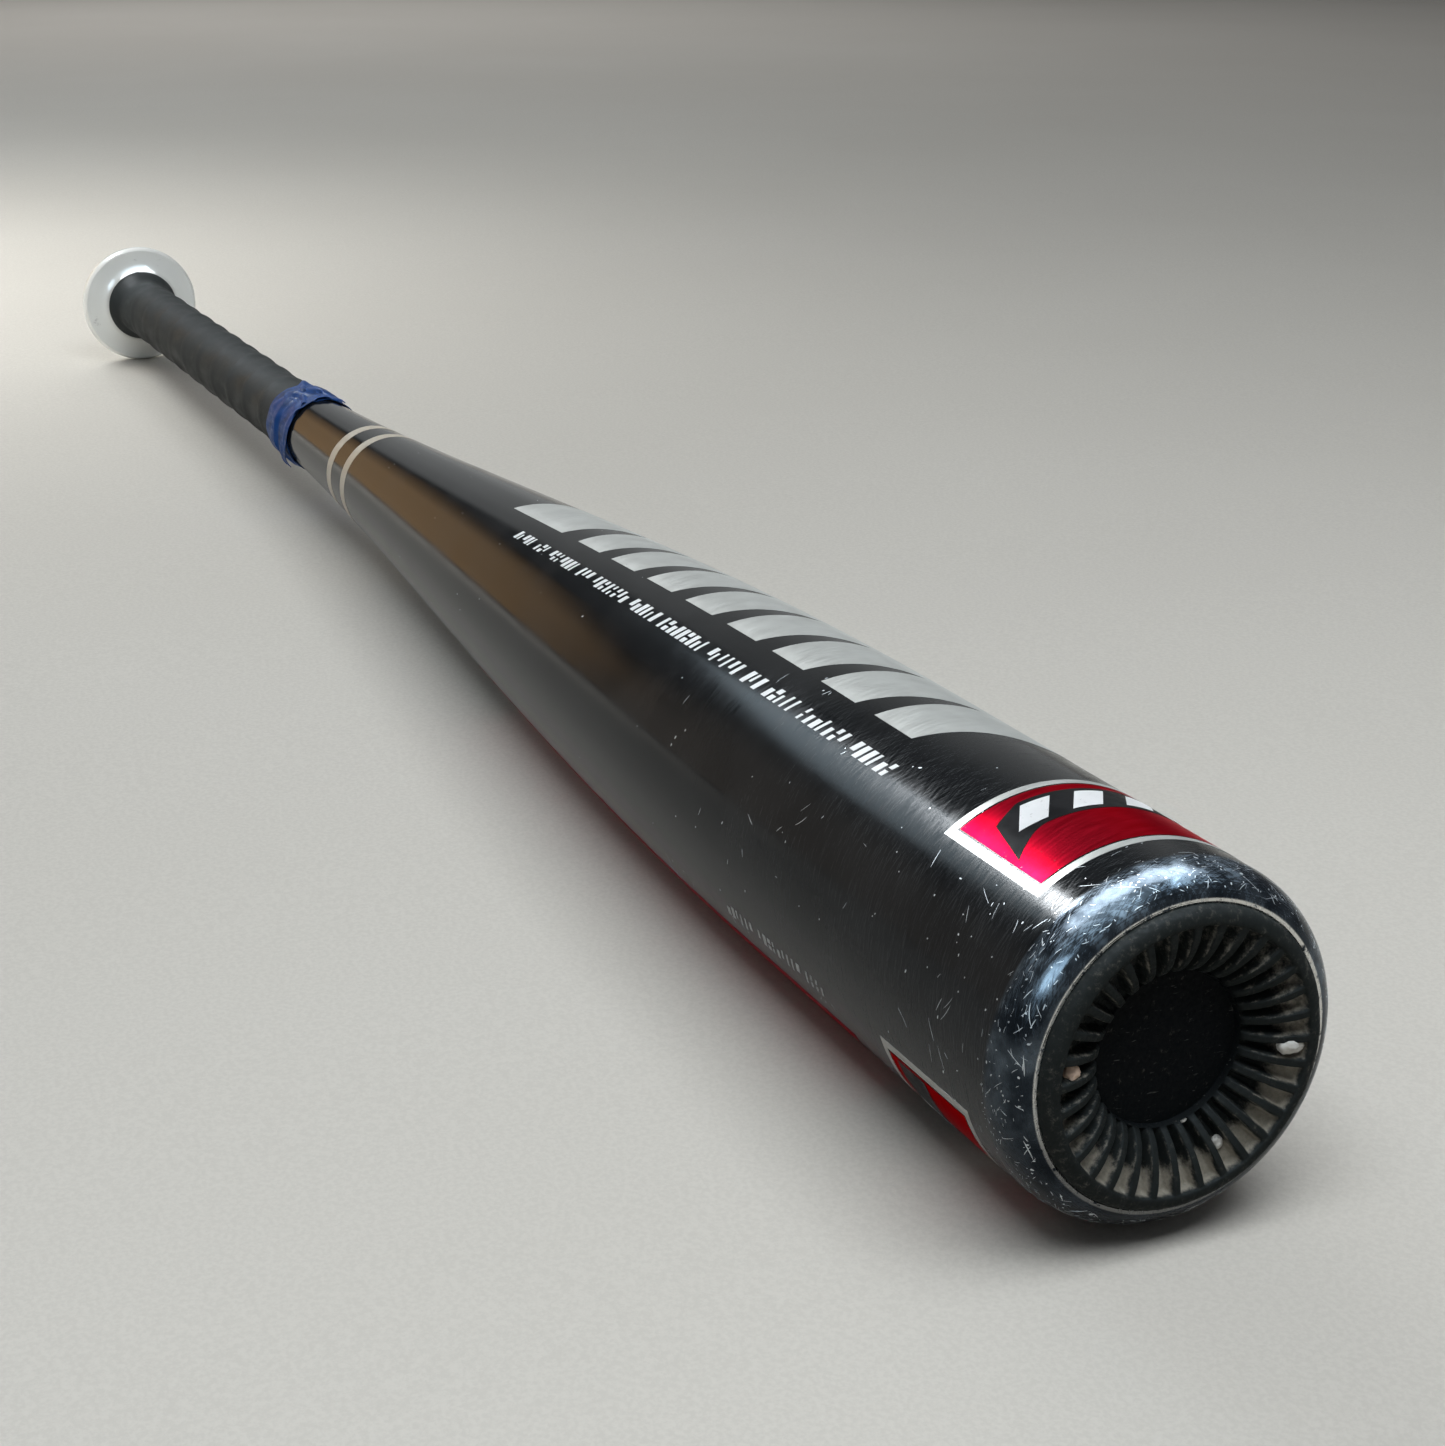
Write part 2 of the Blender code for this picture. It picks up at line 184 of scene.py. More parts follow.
# ---- Mesh building --------------------------------------------------------------
class Body:
    """Vertices and faces of one piece, gathered in bat coordinates."""

    def __init__(self):
        self.verts = []
        self.faces = []
        self.marks = []

    def row(self, points, mark=0.0):
        first = len(self.verts)
        self.verts.extend(points)
        self.marks.extend([mark] * len(points))
        return list(range(first, len(self.verts)))

    def join(self, first, second, closed):
        """Quads between two rows, or a fan where one row is a single point."""
        count = max(len(first), len(second))
        for i in range(count if closed else count - 1):
            j = (i + 1) % count
            corners = [first[i % len(first)], first[j % len(first)]]
            corners += [second[j % len(second)], second[i % len(second)]]
            self.faces.append(list(dict.fromkeys(corners)))

    def turned(self, profile, columns=COLUMNS):
        """Revolve (x, radius) points; a profile off the axis is closed on itself."""
        turns = spread(0.0, 360.0, columns)[:-1]
        rows = []
        for x, radius in profile:
            if radius == 0.0:
                rows.append(self.row([Vector((x, 0.0, 0.0))]))
            else:
                rows.append(self.row([at(x, radius, t) for t in turns]))
        pairs = list(zip(rows, rows[1:]))
        if len(rows[0]) > 1:
            pairs.append((rows[-1], rows[0]))
        for first, second in pairs:
            self.join(first, second, True)

    def slab(self, grid, lift, thickness):
        """Closed thin body over the bat's surface from a grid of (x, turn)."""
        layers = []
        for height in (lift, lift + thickness):
            rows = []
            for line in grid:
                points = [at(x, body_radius(x) + height, t) for x, t in line]
                rows.append(self.row(points))
            layers.append(rows)
        self.shut(*layers)

    def shut(self, lower, upper):
        """Faces of a slab from its lower and upper rows of vertex numbers."""
        for rows in (lower, upper):
            for first, second in zip(rows, rows[1:]):
                self.join(first, second, False)
        for side in (0, -1):
            self.join(lower[side], upper[side], False)
            self.join([r[side] for r in lower], [r[side] for r in upper], False)

    def piece(self, name, surface, replaces=(), sharp=38.0):
        mesh = bpy.data.meshes.new(name)
        mesh.from_pydata(self.verts, [], self.faces)
        mesh.transform(BAT_AXES)
        bm = bmesh.new()
        bm.from_mesh(mesh)
        bmesh.ops.recalc_face_normals(bm, faces=bm.faces)
        bm.to_mesh(mesh)
        bm.free()
        if any(self.marks):
            layer = mesh.attributes.new("mark", "FLOAT", "POINT")
            layer.data.foreach_set("value", self.marks)
        mesh.shade_smooth()
        mesh.set_sharp_from_angle(angle=math.radians(sharp))
        mesh.materials.append(surface)
        made = bpy.data.objects.new(name, mesh)
        bpy.context.scene.collection.objects.link(made)
        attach(made, "root")
        if replaces:
            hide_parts(*replaces)
        return made


def rectangle(xs, turns):
    """Grid of (x, turn) for a slab."""
    return [[(x, t) for x in xs] for t in turns]


# ---- Materials --------------------------------------------------------------------
class Shader:
    """A Principled material and short ways to add procedural nodes to it."""

    def __init__(self, name, color, roughness, metallic=0.0, **constants):
        self.material = bpy.data.materials.new(name)
        self.material.use_nodes = True
        self.tree = self.material.node_tree
        self.surface = self.tree.nodes["Principled BSDF"]
        self.set("Base Color", (*color, 1.0))
        self.set("Roughness", roughness)
        self.set("Metallic", metallic)
        for key, value in constants.items():
            self.set(key.replace("_", " ").title().replace("Ior", "IOR"), value)
        to_bat = self.node("ShaderNodeMapping")
        to_bat.inputs["Rotation"].default_value = FROM_FRAME.to_euler()
        to_bat.inputs["Location"].default_value = FROM_FRAME.translation
        self.feed(to_bat.inputs["Vector"], self.node("ShaderNodeTexCoord").outputs["Object"])
        self.place = to_bat.outputs["Vector"]

    def set(self, socket, value):
        self.surface.inputs[socket].default_value = value

    def node(self, kind, **settings):
        made = self.tree.nodes.new(kind)
        for key, value in settings.items():
            setattr(made, key, value)
        return made

    def feed(self, socket, value):
        """Put a number, a color or another node's output into a socket."""
        if isinstance(value, bpy.types.NodeSocket):
            self.tree.links.new(value, socket)
        else:
            socket.default_value = value

    def math(self, operation, first, second=0.0, third=0.0):
        made = self.node("ShaderNodeMath", operation=operation)
        for socket, value in zip(made.inputs, (first, second, third)):
            self.feed(socket, value)
        return made.outputs[0]

    def parts(self):
        """Outputs x, y and z of the place on the bat."""
        made = self.node("ShaderNodeSeparateXYZ")
        self.feed(made.inputs[0], self.place)
        return made.outputs

    def stretched(self, scale, shear=(0.0, 0.0)):
        """Bat coordinates scaled on each axis; shear leans x with y and z."""
        x, y, z = self.parts()
        along = self.math("MULTIPLY_ADD", y, shear[0], x)
        along = self.math("MULTIPLY_ADD", z, shear[1], along)
        joined = self.node("ShaderNodeCombineXYZ")
        for socket, value, factor in zip(joined.inputs, (along, y, z), scale):
            self.feed(socket, self.math("MULTIPLY", value, factor))
        return joined.outputs[0]

    def noise(self, scale, detail=2.0, roughness=0.5, shear=(0.0, 0.0)):
        """Noise of features about 1 / scale metres long on each axis."""
        scales = scale if isinstance(scale, tuple) else (scale,) * 3
        made = self.node("ShaderNodeTexNoise")
        self.feed(made.inputs["Vector"], self.stretched(scales, shear))
        made.inputs["Scale"].default_value = 1.0
        made.inputs["Detail"].default_value = detail
        made.inputs["Roughness"].default_value = roughness
        return made.outputs["Fac"]

    def ramp(self, value, low, high, to_low=0.0, to_high=1.0):
        made = self.node("ShaderNodeMapRange", interpolation_type="SMOOTHSTEP")
        for name, number in (
            ("Value", value),
            ("From Min", low),
            ("From Max", high),
            ("To Min", to_low),
            ("To Max", to_high),
        ):
            self.feed(made.inputs[name], number)
        return made.outputs["Result"]

    def mix(self, share, first, second):
        """Blend of two colors, given as 3 numbers or as an output."""
        made = self.node("ShaderNodeMix", data_type="RGBA")
        self.feed(made.inputs["Factor"], share)
        colors = [s for s in made.inputs if s.type == "RGBA"]
        for socket, value in zip(colors, (first, second)):
            is_socket = isinstance(value, bpy.types.NodeSocket)
            self.feed(socket, value if is_socket else (*value, 1.0))
        return next(s for s in made.outputs if s.type == "RGBA")

    def radius(self):
        """Distance from the bat's axis."""
        _, y, z = self.parts()
        squares = self.math("MULTIPLY_ADD", z, z, self.math("MULTIPLY", y, y))
        return self.math("SQRT", squares)

    def along(self):
        """Distance along the bat from the knob's back."""
        return self.parts()[0]

    def up(self):
        """Height over the bat's axis."""
        return self.parts()[2]

    def mark(self):
        """The number that the mesh code left on each point."""
        return self.node("ShaderNodeAttribute", attribute_name="mark").outputs["Fac"]

    def bump(self, height, distance, strength=1.0):
        made = self.node("ShaderNodeBump")
        made.inputs["Strength"].default_value = strength
        made.inputs["Distance"].default_value = distance
        self.feed(made.inputs["Height"], height)
        return made.outputs["Normal"]

    def use(self, **outputs):
        """Feed the surface's sockets and give back the material."""
        for key, value in outputs.items():
            self.feed(self.surface.inputs[key.replace("_", " ").title()], value)
        return self.material


def shell_paint():
    """Gloss black enamel with hairlines round the barrel and a worn lip; the rolled shoulder and
    the lip's bare chips are painted lighter on top as a painted highlight.
    """
    s = Shader("shell_paint", (0.012, 0.013, 0.014), 0.12, ior=1.45, specular_ior_level=0.11)
    hair = s.noise((6500.0, 70.0, 70.0), 3.0, 0.6)
    lean = s.noise((4200.0, 170.0, 170.0), 2.0, 0.6, shear=(0.35, 0.2))
    cross = s.noise((3900.0, 210.0, 210.0), 2.0, 0.6, shear=(-0.5, 0.4))
    lines = s.math("ADD", hair, s.math("ADD", lean, cross))
    clouds = s.noise(45.0, 3.0)
    wear = s.ramp(s.along(), LIP_X - 230.0 * MM, LIP_X - 10.0 * MM)
    haze = s.math("MULTIPLY", s.ramp(lines, 1.3, 1.9), s.math("ADD", wear, 0.06))
    rough = s.math("MULTIPLY_ADD", haze, 0.26, s.ramp(clouds, 0.3, 0.7, 0.07, 0.14))
    bare = s.ramp(s.radius(), LIP_RADIUS + 0.45 * MM, LIP_RADIUS + 0.15 * MM)
    end = s.ramp(s.along(), LIP_X - 2.0 * MM, LIP_X - 0.5 * MM)
    chips_and_top_highlight = s.ramp(s.noise(420.0, 4.0, 0.7), 0.36, 0.46)
    # Painted highlight: bare chips on the lip are kept mostly to its upper side, so the lip reads
    # brighter on top.
    chips_and_top_highlight = s.math("MULTIPLY", chips_and_top_highlight, s.ramp(s.up(), -18.0 * MM, 4.0 * MM, 0.25, 1.0))
    bare = s.math("MULTIPLY", s.math("MULTIPLY", bare, end), chips_and_top_highlight)
    black = s.mix(s.ramp(clouds, 0.35, 0.7), (0.008, 0.009, 0.010), (0.014, 0.015, 0.016))
    black = s.mix(s.math("MULTIPLY", haze, 0.18), black, (0.035, 0.039, 0.045))
    crease_x = LIP_X - SHOULDER_LENGTH
    rolled = s.ramp(s.along(), crease_x - 0.6 * MM, crease_x + 0.6 * MM)
    patchy = s.ramp(s.noise(150.0, 4.0, 0.6), 0.35, 0.7)
    rough = s.math("MULTIPLY_ADD", s.math("MULTIPLY", rolled, patchy), 0.12, rough)
    # Painted highlight and shade: the rolled shoulder's colour is lighter on its upper side and
    # darker below.
    upper = s.ramp(s.up(), -14.0 * MM, 18.0 * MM)
    shoulder_shade_below = s.mix(patchy, (0.008, 0.011, 0.015), (0.028, 0.035, 0.044))
    shoulder_highlight_above = s.mix(patchy, (0.027, 0.035, 0.045), (0.115, 0.140, 0.165))
    black = s.mix(rolled, black, s.mix(upper, shoulder_shade_below, shoulder_highlight_above))
    # Bare metal at the lip: partly real wear, partly a painted highlight on its upper side.
    color = s.mix(bare, black, (0.62, 0.61, 0.58))
    metal = s.math("MAXIMUM", bare, s.math("MULTIPLY", rolled, 0.75))
    normal = s.bump(lines, 0.004 * MM, 0.6)
    return s.use(base_color=color, roughness=rough, metallic=metal, normal=normal)


def cap_rubber():
    """Matte black rubber; "mark" says how much dust has settled on each point, and on the ribs'
    flanks it also carries a painted highlight.
    """
    s = Shader("cap_rubber", (0.02, 0.02, 0.02), 0.7, specular_ior_level=0.05)
    fine = s.noise(1500.0, 4.0, 0.7)
    patches = s.noise(620.0, 5.0, 0.75)
    uneven = s.math("MULTIPLY_ADD", patches, 1.7, -0.85)
    dust_and_flank_highlight = s.ramp(s.math("ADD", s.mark(), uneven), 0.12, 1.1)
    base = s.mix(patches, (0.005, 0.007, 0.007), (0.022, 0.025, 0.024))
    in_disc = s.ramp(s.radius(), CAP_DISC_RADIUS + 0.6 * MM, CAP_DISC_RADIUS - 0.3 * MM)
    base = s.mix(in_disc, base, (0.0018, 0.0026, 0.0032))
    marks = s.ramp(s.noise((900.0, 260.0, 1300.0), 3.0, 0.6), 0.66, 0.74)
    flecks = s.ramp(s.noise(1100.0, 2.0, 0.5), 0.76, 0.80)
    marks = s.math("MAXIMUM", s.math("MULTIPLY", marks, 0.45), flecks)
    marks = s.math("MULTIPLY", marks, in_disc)
    tan = s.mix(fine, (0.155, 0.143, 0.115), (0.40, 0.37, 0.31))
    # Dust colour, also used as a painted highlight on the ribs' flanks.
    color = s.mix(dust_and_flank_highlight, base, tan)
    color = s.mix(marks, color, (0.10, 0.10, 0.09))
    rough = s.ramp(fine, 0.3, 0.7, 0.48, 0.85)
    return s.use(base_color=color, roughness=rough, normal=s.bump(fine, 0.08 * MM, 0.6))


def knob_enamel():
    """White enamel, scuffed, with painted shade where the grip meets it."""
    s = Shader("knob_enamel", (0.92, 0.93, 0.90), 0.2, coat_weight=0.8, coat_roughness=0.1)
    clouds = s.noise(90.0, 4.0)
    scuffs = s.ramp(s.noise((900.0, 120.0, 260.0), 4.0, 0.7), 0.62, 0.72)
    near_grip = s.ramp(s.radius(), 17.0 * MM, 14.0 * MM)
    # Painted shade: a darker ring on the enamel next to the grip, where the gap between them lies
    # in shadow.
    grip_edge_shade = s.math("MULTIPLY", near_grip, s.ramp(clouds, 0.25, 0.75, 0.3, 1.0))
    color = s.mix(clouds, (0.88, 0.90, 0.87), (0.94, 0.95, 0.92))
    color = s.mix(s.math("MULTIPLY", scuffs, 0.5), color, (0.42, 0.42, 0.40))
    color = s.mix(grip_edge_shade, color, (0.34, 0.33, 0.30))
    rough = s.math("MULTIPLY_ADD", scuffs, 0.3, s.ramp(clouds, 0.3, 0.7, 0.14, 0.26))
    return s.use(base_color=color, roughness=rough, normal=s.bump(clouds, 0.1 * MM, 0.25))


def grip_synthetic():
    """Black synthetic strip with fine pores; "mark" darkens its lapped edges as painted shade."""
    s = Shader("grip_synthetic", (0.045, 0.047, 0.047), 0.62, specular_ior_level=0.09)
    pores = s.noise(1100.0, 3.0, 0.6)
    clouds = s.noise((60.0, 140.0, 140.0), 3.0)
    color = s.mix(clouds, (0.012, 0.0145, 0.0145), (0.026, 0.030, 0.030))
    color = s.mix(s.ramp(s.mark(), 0.2, 1.0, 0.0, 0.5), color, (0.014, 0.015, 0.015))
    rough = s.ramp(clouds, 0.3, 0.7, 0.5, 0.72)
    return s.use(base_color=color, roughness=rough, normal=s.bump(pores, 0.12 * MM, 0.5))


def blue_vinyl():
    """Blue vinyl tape; "mark" darkens the valleys between its pleats as painted shade."""
    s = Shader("blue_vinyl", (0.02, 0.10, 0.32), 0.42, specular_ior_level=0.09)
    clouds = s.noise(170.0, 3.0)
    lines = s.noise((160.0, 900.0, 900.0), 2.0)
    color = s.mix(clouds, (0.004, 0.032, 0.13), (0.012, 0.068, 0.27))
    color = s.mix(s.ramp(s.mark(), 0.0, 1.0, 0.0, 0.8), color, (0.006, 0.025, 0.09))
    rough = s.ramp(lines, 0.3, 0.7, 0.34, 0.5)
    return s.use(base_color=color, roughness=rough, normal=s.bump(lines, 0.1 * MM, 0.4))


def foil(name, dark, bright, roughness, metallic, coat, edge):
    """Metallic transfer with hairlines, worn in small flecks."""
    s = Shader(name, bright, roughness, metallic, coat_weight=coat, coat_roughness=0.12)
    s.set("Specular Tint", (*edge, 1.0))
    brushed = s.noise((1500.0, 90.0, 90.0), 3.0, 0.6, shear=(0.2, 0.1))
    clouds = s.noise(160.0, 3.0)
    flecks = s.ramp(s.noise(900.0, 3.0, 0.7), 0.68, 0.74)
    color = s.mix(clouds, dark, bright)
    color = s.mix(s.math("MULTIPLY", flecks, 0.5), color, (0.08, 0.08, 0.08))
    rough = s.ramp(brushed, 0.3, 0.7, roughness - 0.02, roughness + 0.04)
    waves = s.math("MULTIPLY_ADD", brushed, 0.02, s.noise(210.0, 3.0))
    return s.use(base_color=color, roughness=rough, normal=s.bump(waves, 0.06 * MM, 0.4))


def print_ink(name, dark, bright, specular=0.14):
    """Matte printed ink with small worn spots."""
    s = Shader(name, bright, 0.38, specular_ior_level=specular)
    clouds = s.noise(240.0, 3.0)
    worn = s.ramp(s.noise(1100.0, 3.0, 0.7), 0.64, 0.72)
    color = s.mix(clouds, dark, bright)
    color = s.mix(s.math("MULTIPLY", worn, 0.6), color, [c * 0.35 for c in dark])
    return s.use(base_color=color, roughness=s.ramp(clouds, 0.3, 0.7, 0.30, 0.48))


def scratch_metal():
    """Bare metal and chalky marks in scratches and chips."""
    s = Shader("scratch_metal", (0.5, 0.53, 0.56), 0.38, 0.7)
    color = s.mix(s.noise(700.0, 2.0), (0.30, 0.33, 0.36), (0.72, 0.74, 0.75))
    return s.use(base_color=color)


def stone(name, dark, bright):
    """Rough grit."""
    s = Shader(name, bright, 0.8)
    grain = s.noise(1600.0, 4.0, 0.7)
    color = s.mix(s.noise(600.0, 3.0), dark, bright)
    return s.use(base_color=color, normal=s.bump(grain, 0.15 * MM, 0.7))


# ---- The pieces ---------------------------------------------------------------------
SHELL_WALL = 2.4 * MM
LIP_CURL = (-20.0, 150.0)
LIP_DROP = 0.2 * MM
LIP_SEAT_X = LIP_X - 3.2 * MM
LIP_SEAT_STEP = 0.5 * MM
BORE_END_X = LIP_X - 6.0 * MM


def barrel_body(surface):
    """The hollow shell: handle, long taper, cylinder, rolled shoulder and lip."""
    outer = [(x, body_radius(x)) for x in spread(SHELL_START, TAPER_FOOT_X, 8)[:-1]]
    outer += [(x, body_radius(x)) for x in spread(TAPER_FOOT_X, TAPER_TOP_X, 96)]
    crease_x = SHOULDER[0][0]
    outer += [(x, BARREL_RADIUS) for x in spread(TAPER_TOP_X, crease_x - 0.5 * MM, 10)[1:]]
    outer += shoulder_points(20)
    lip = []
    for angle in spread(*LIP_CURL, 10):
        a = math.radians(angle)
        x = LIP_X - LIP_ROUND + LIP_ROUND * math.cos(a)
        lip.append((x, LIP_RADIUS - LIP_ROUND * math.sin(a) - LIP_DROP))
    inner = [(LIP_SEAT_X, LIP_RADIUS + LIP_SEAT_STEP)]
    inner += [(x, body_radius(x) - SHELL_WALL) for x in spread(BORE_END_X, SHELL_START, 40)]
    body = Body()
    body.turned(outer + lip + inner)
    return body.piece(
        "barrel_body", surface, replaces=["barrel_shell"], sharp=50.0
    )


CAP_RING_RADIUS = 24.7 * MM
CAP_DISC_RADIUS = 14.4 * MM
CAP_CROWN_X = LIP_X + 2.2 * MM
CAP_DISC_DEPTH = CAP_CROWN_X - LIP_X + 4.9 * MM
RIB_COUNT = 32
RIB_HALF_WIDTH = 0.55 * MM
RIB_EDGE = 0.85 * MM
POCKET_DEPTH = 3.4 * MM
CAP_COLUMNS = RIB_COUNT * 22
CAP_STEP = 1.2 * MM
CAP_NECK_RADIUS = LIP_RADIUS - 0.6 * MM
CAP_NECK_END_X = LIP_X - 3.4 * MM
CAP_FLANGE_RADIUS = 30.0 * MM
CAP_SKIRT_RADIUS = 27.7 * MM
CAP_SKIRT_END_X = LIP_X - 13.0 * MM
CAP_WEB = 2.4 * MM


def crest_rise(share):
    """Height of a rib's crest over the disc's edge, share 0 at the disc, 1 at the ring."""
    share = min(max(share, 0.0), 1.0)
    return (CAP_DISC_DEPTH - 1.4 * MM) * (1.0 - (1.0 - share) ** 1.8) ** 0.75


def pocket_depth(radius, turn):
    """How far the floor between two ribs lies below their crests, 0 on a rib."""
    if radius < CAP_DISC_RADIUS:
        return 0.0
    pitch = 360.0 / RIB_COUNT
    off = abs((turn + 1.0) / pitch - round((turn + 1.0) / pitch)) * pitch
    distance = math.radians(off) * radius
    beside = smooth(RIB_HALF_WIDTH, RIB_HALF_WIDTH + RIB_EDGE, distance)
    share = (radius - CAP_DISC_RADIUS) / (CAP_RING_RADIUS - CAP_DISC_RADIUS)
    end = smooth(1.0, 0.955, share)
    fall = 1.0 - 0.40 * smooth(0.5, 1.0, share)
    deepest = crest_rise(share) + 0.6 * MM * smooth(0.0, 0.03, share)
    return min(POCKET_DEPTH * beside * end * fall, deepest)


def cap_dust_and_flank_highlight(radius, turn, depth):
    """Dust on the outer floors, most on the lower half of the cap, and dust with a painted
    highlight on the ribs' flanks.
    """
    outward = smooth(18.6 * MM, 22.4 * MM, radius)
    low = 0.22 + 0.78 * smooth(95.0, 140.0, turn) * smooth(335.0, 235.0, turn)
    floor = smooth(0.3 * MM, 1.1 * MM, depth)
    ring = 0.10 * smooth(CAP_RING_RADIUS, CAP_RING_RADIUS + MM, radius)
    # Rib flanks: lightened as dust and as a painted highlight where they catch light.
    flank_dust_and_highlight = smooth(0.02 * MM, 0.2 * MM, depth) * (1.0 - smooth(0.35 * MM, 0.9 * MM, depth))
    flank_dust_and_highlight *= 0.50 * smooth(14.6 * MM, 17.0 * MM, radius)
    return max(outward * floor * low * 1.1, ring, flank_dust_and_highlight)


def end_cap_rubber(surface):
    """Ribbed cup: crowned ring, ribs falling to a sunk disc, hidden flange behind."""
    disc_x = CAP_CROWN_X - CAP_DISC_DEPTH
    body = Body()
    turns = spread(0.0, 360.0, CAP_COLUMNS)[:-1]
    rows = [body.row([Vector((disc_x, 0.0, 0.0))])]

    def ring(radius, height):
        points = []
        marks = []
        for turn in turns:
            depth = pocket_depth(radius, turn)
            p = at(height - depth, radius, turn)
            p.x += 0.05 * MM * noise.noise(p * 900.0) + 0.12 * MM * noise.noise(p * 240.0)
            points.append(p)
            marks.append(cap_dust_and_flank_highlight(radius, turn, depth))
        rows.append(body.row(points))
        body.marks[-len(marks) :] = marks

    for radius in (3.0, 6.0, 9.0, 12.0, 13.4, 13.9, 14.1):
        ring(radius * MM, disc_x)
    edge_x = disc_x + CAP_STEP
    ring(14.25 * MM, disc_x + 0.5 * MM)
    ring(14.32 * MM, disc_x + 0.9 * MM)
    for step in spread(0.0, 1.0, 60):
        share = step**1.6
        radius = CAP_DISC_RADIUS + (CAP_RING_RADIUS - CAP_DISC_RADIUS) * share
        ring(radius, edge_x + crest_rise(share))
    ring(CAP_RING_RADIUS + 0.12 * MM, CAP_CROWN_X - 0.06 * MM)
    for angle in spread(90.0, 8.0, 10):
        a = math.radians(angle)
        reach_r = LIP_RADIUS - 0.55 * MM - CAP_RING_RADIUS - 0.45 * MM
        radius = CAP_RING_RADIUS + 0.45 * MM + reach_r * math.cos(a)
        ring(radius, LIP_X - 0.4 * MM + (CAP_CROWN_X - LIP_X + 0.4 * MM) * math.sin(a))
    back = disc_x - CAP_WEB
    for x, radius in (
        (LIP_X - 0.6 * MM, CAP_NECK_RADIUS),
        (CAP_NECK_END_X, CAP_NECK_RADIUS),
        (CAP_NECK_END_X - 0.1 * MM, CAP_FLANGE_RADIUS),
        (CAP_SKIRT_END_X, CAP_FLANGE_RADIUS),
        (CAP_SKIRT_END_X, CAP_SKIRT_RADIUS),
        (LIP_X - 6.2 * MM, CAP_SKIRT_RADIUS),
        (back, CAP_DISC_RADIUS),
    ):
        rows.append(body.row([at(x, radius, t) for t in turns]))
    rows.append(body.row([Vector((back, 0.0, 0.0))]))
    for first, second in zip(rows, rows[1:]):
        body.join(first, second, True)
    return body.piece(
        "end_cap_rubber", surface, replaces=["end_cap"], sharp=60.0
    )


KNOB_RIM_X = 6.6 * MM
KNOB_RIM_ROUND = 3.9 * MM
KNOB_RIM_CROWN = 2.4 * MM
KNOB_NECK_RADIUS = 13.4 * MM
KNOB_BACK_RADIUS = 21.0 * MM
KNOB_BACK_ROUND = 1.6 * MM
KNOB_BACK_EDGE = 0.9 * MM
KNOB_BACK_INNER = 12.0 * MM
SOCKET_GAP = 0.2 * MM


def knob_body(surface):
    """Rounded knob with a flared front and a flat back."""
    rim = []
    for angle in spread(62.0, -60.0, 22):
        a = math.radians(angle)
        radius = KNOB_RADIUS - KNOB_RIM_CROWN * (1.0 - math.cos(a))
        rim.append((KNOB_RIM_X + KNOB_RIM_ROUND * math.sin(a), radius))
    front_x, front_radius = rim[0]
    flare = []
    for angle in spread(0.0, 90.0, 18)[:-1]:
        a = math.radians(angle)
        x = KNOB_FRONT_X - (KNOB_FRONT_X - front_x) * math.sin(a)
        radius = front_radius - (front_radius - KNOB_NECK_RADIUS) * math.cos(a)
        flare.append((x, radius))
    back = []
    for angle in spread(20.0, 90.0, 8):
        a = math.radians(angle)
        radius = KNOB_BACK_RADIUS + KNOB_BACK_ROUND * math.cos(a)
        back.append((KNOB_BACK_EDGE * (1.0 - math.sin(a)), radius))
    socket_radius = HANDLE_RADIUS + SOCKET_GAP
    socket_x = SHELL_START - SOCKET_GAP
    profile = [(socket_x, 0.0), (socket_x, socket_radius), (KNOB_FRONT_X, socket_radius)]
    profile += flare + rim + back + [(0.0, KNOB_BACK_INNER), (0.0, 0.0)]
    body = Body()
    body.turned(profile, 128)
    return body.piece("knob_body", surface, replaces=["knob"])


GRIP_PITCH = 25.0 * MM
GRIP_LAP = 3.2 * MM
GRIP_THICKNESS = 0.34 * MM
GRIP_STATIONS = 72
GRIP_GAP = 0.05 * MM
GRIP_PUFF = 0.16 * MM
GRIP_PUFF_SCALE = 110.0
COLLAR_START_X = GRIP_START_X - 3.3 * MM
COLLAR_END_X = GRIP_START_X + 7.5 * MM
COLLAR_RISE = 3.3 * MM


def grip_base(x):
    """Radius of what the grip lies on: the handle, and the knob's neck at its start."""
    return body_radius(x) + COLLAR_RISE * (1.0 - smooth(COLLAR_START_X, COLLAR_END_X, x))


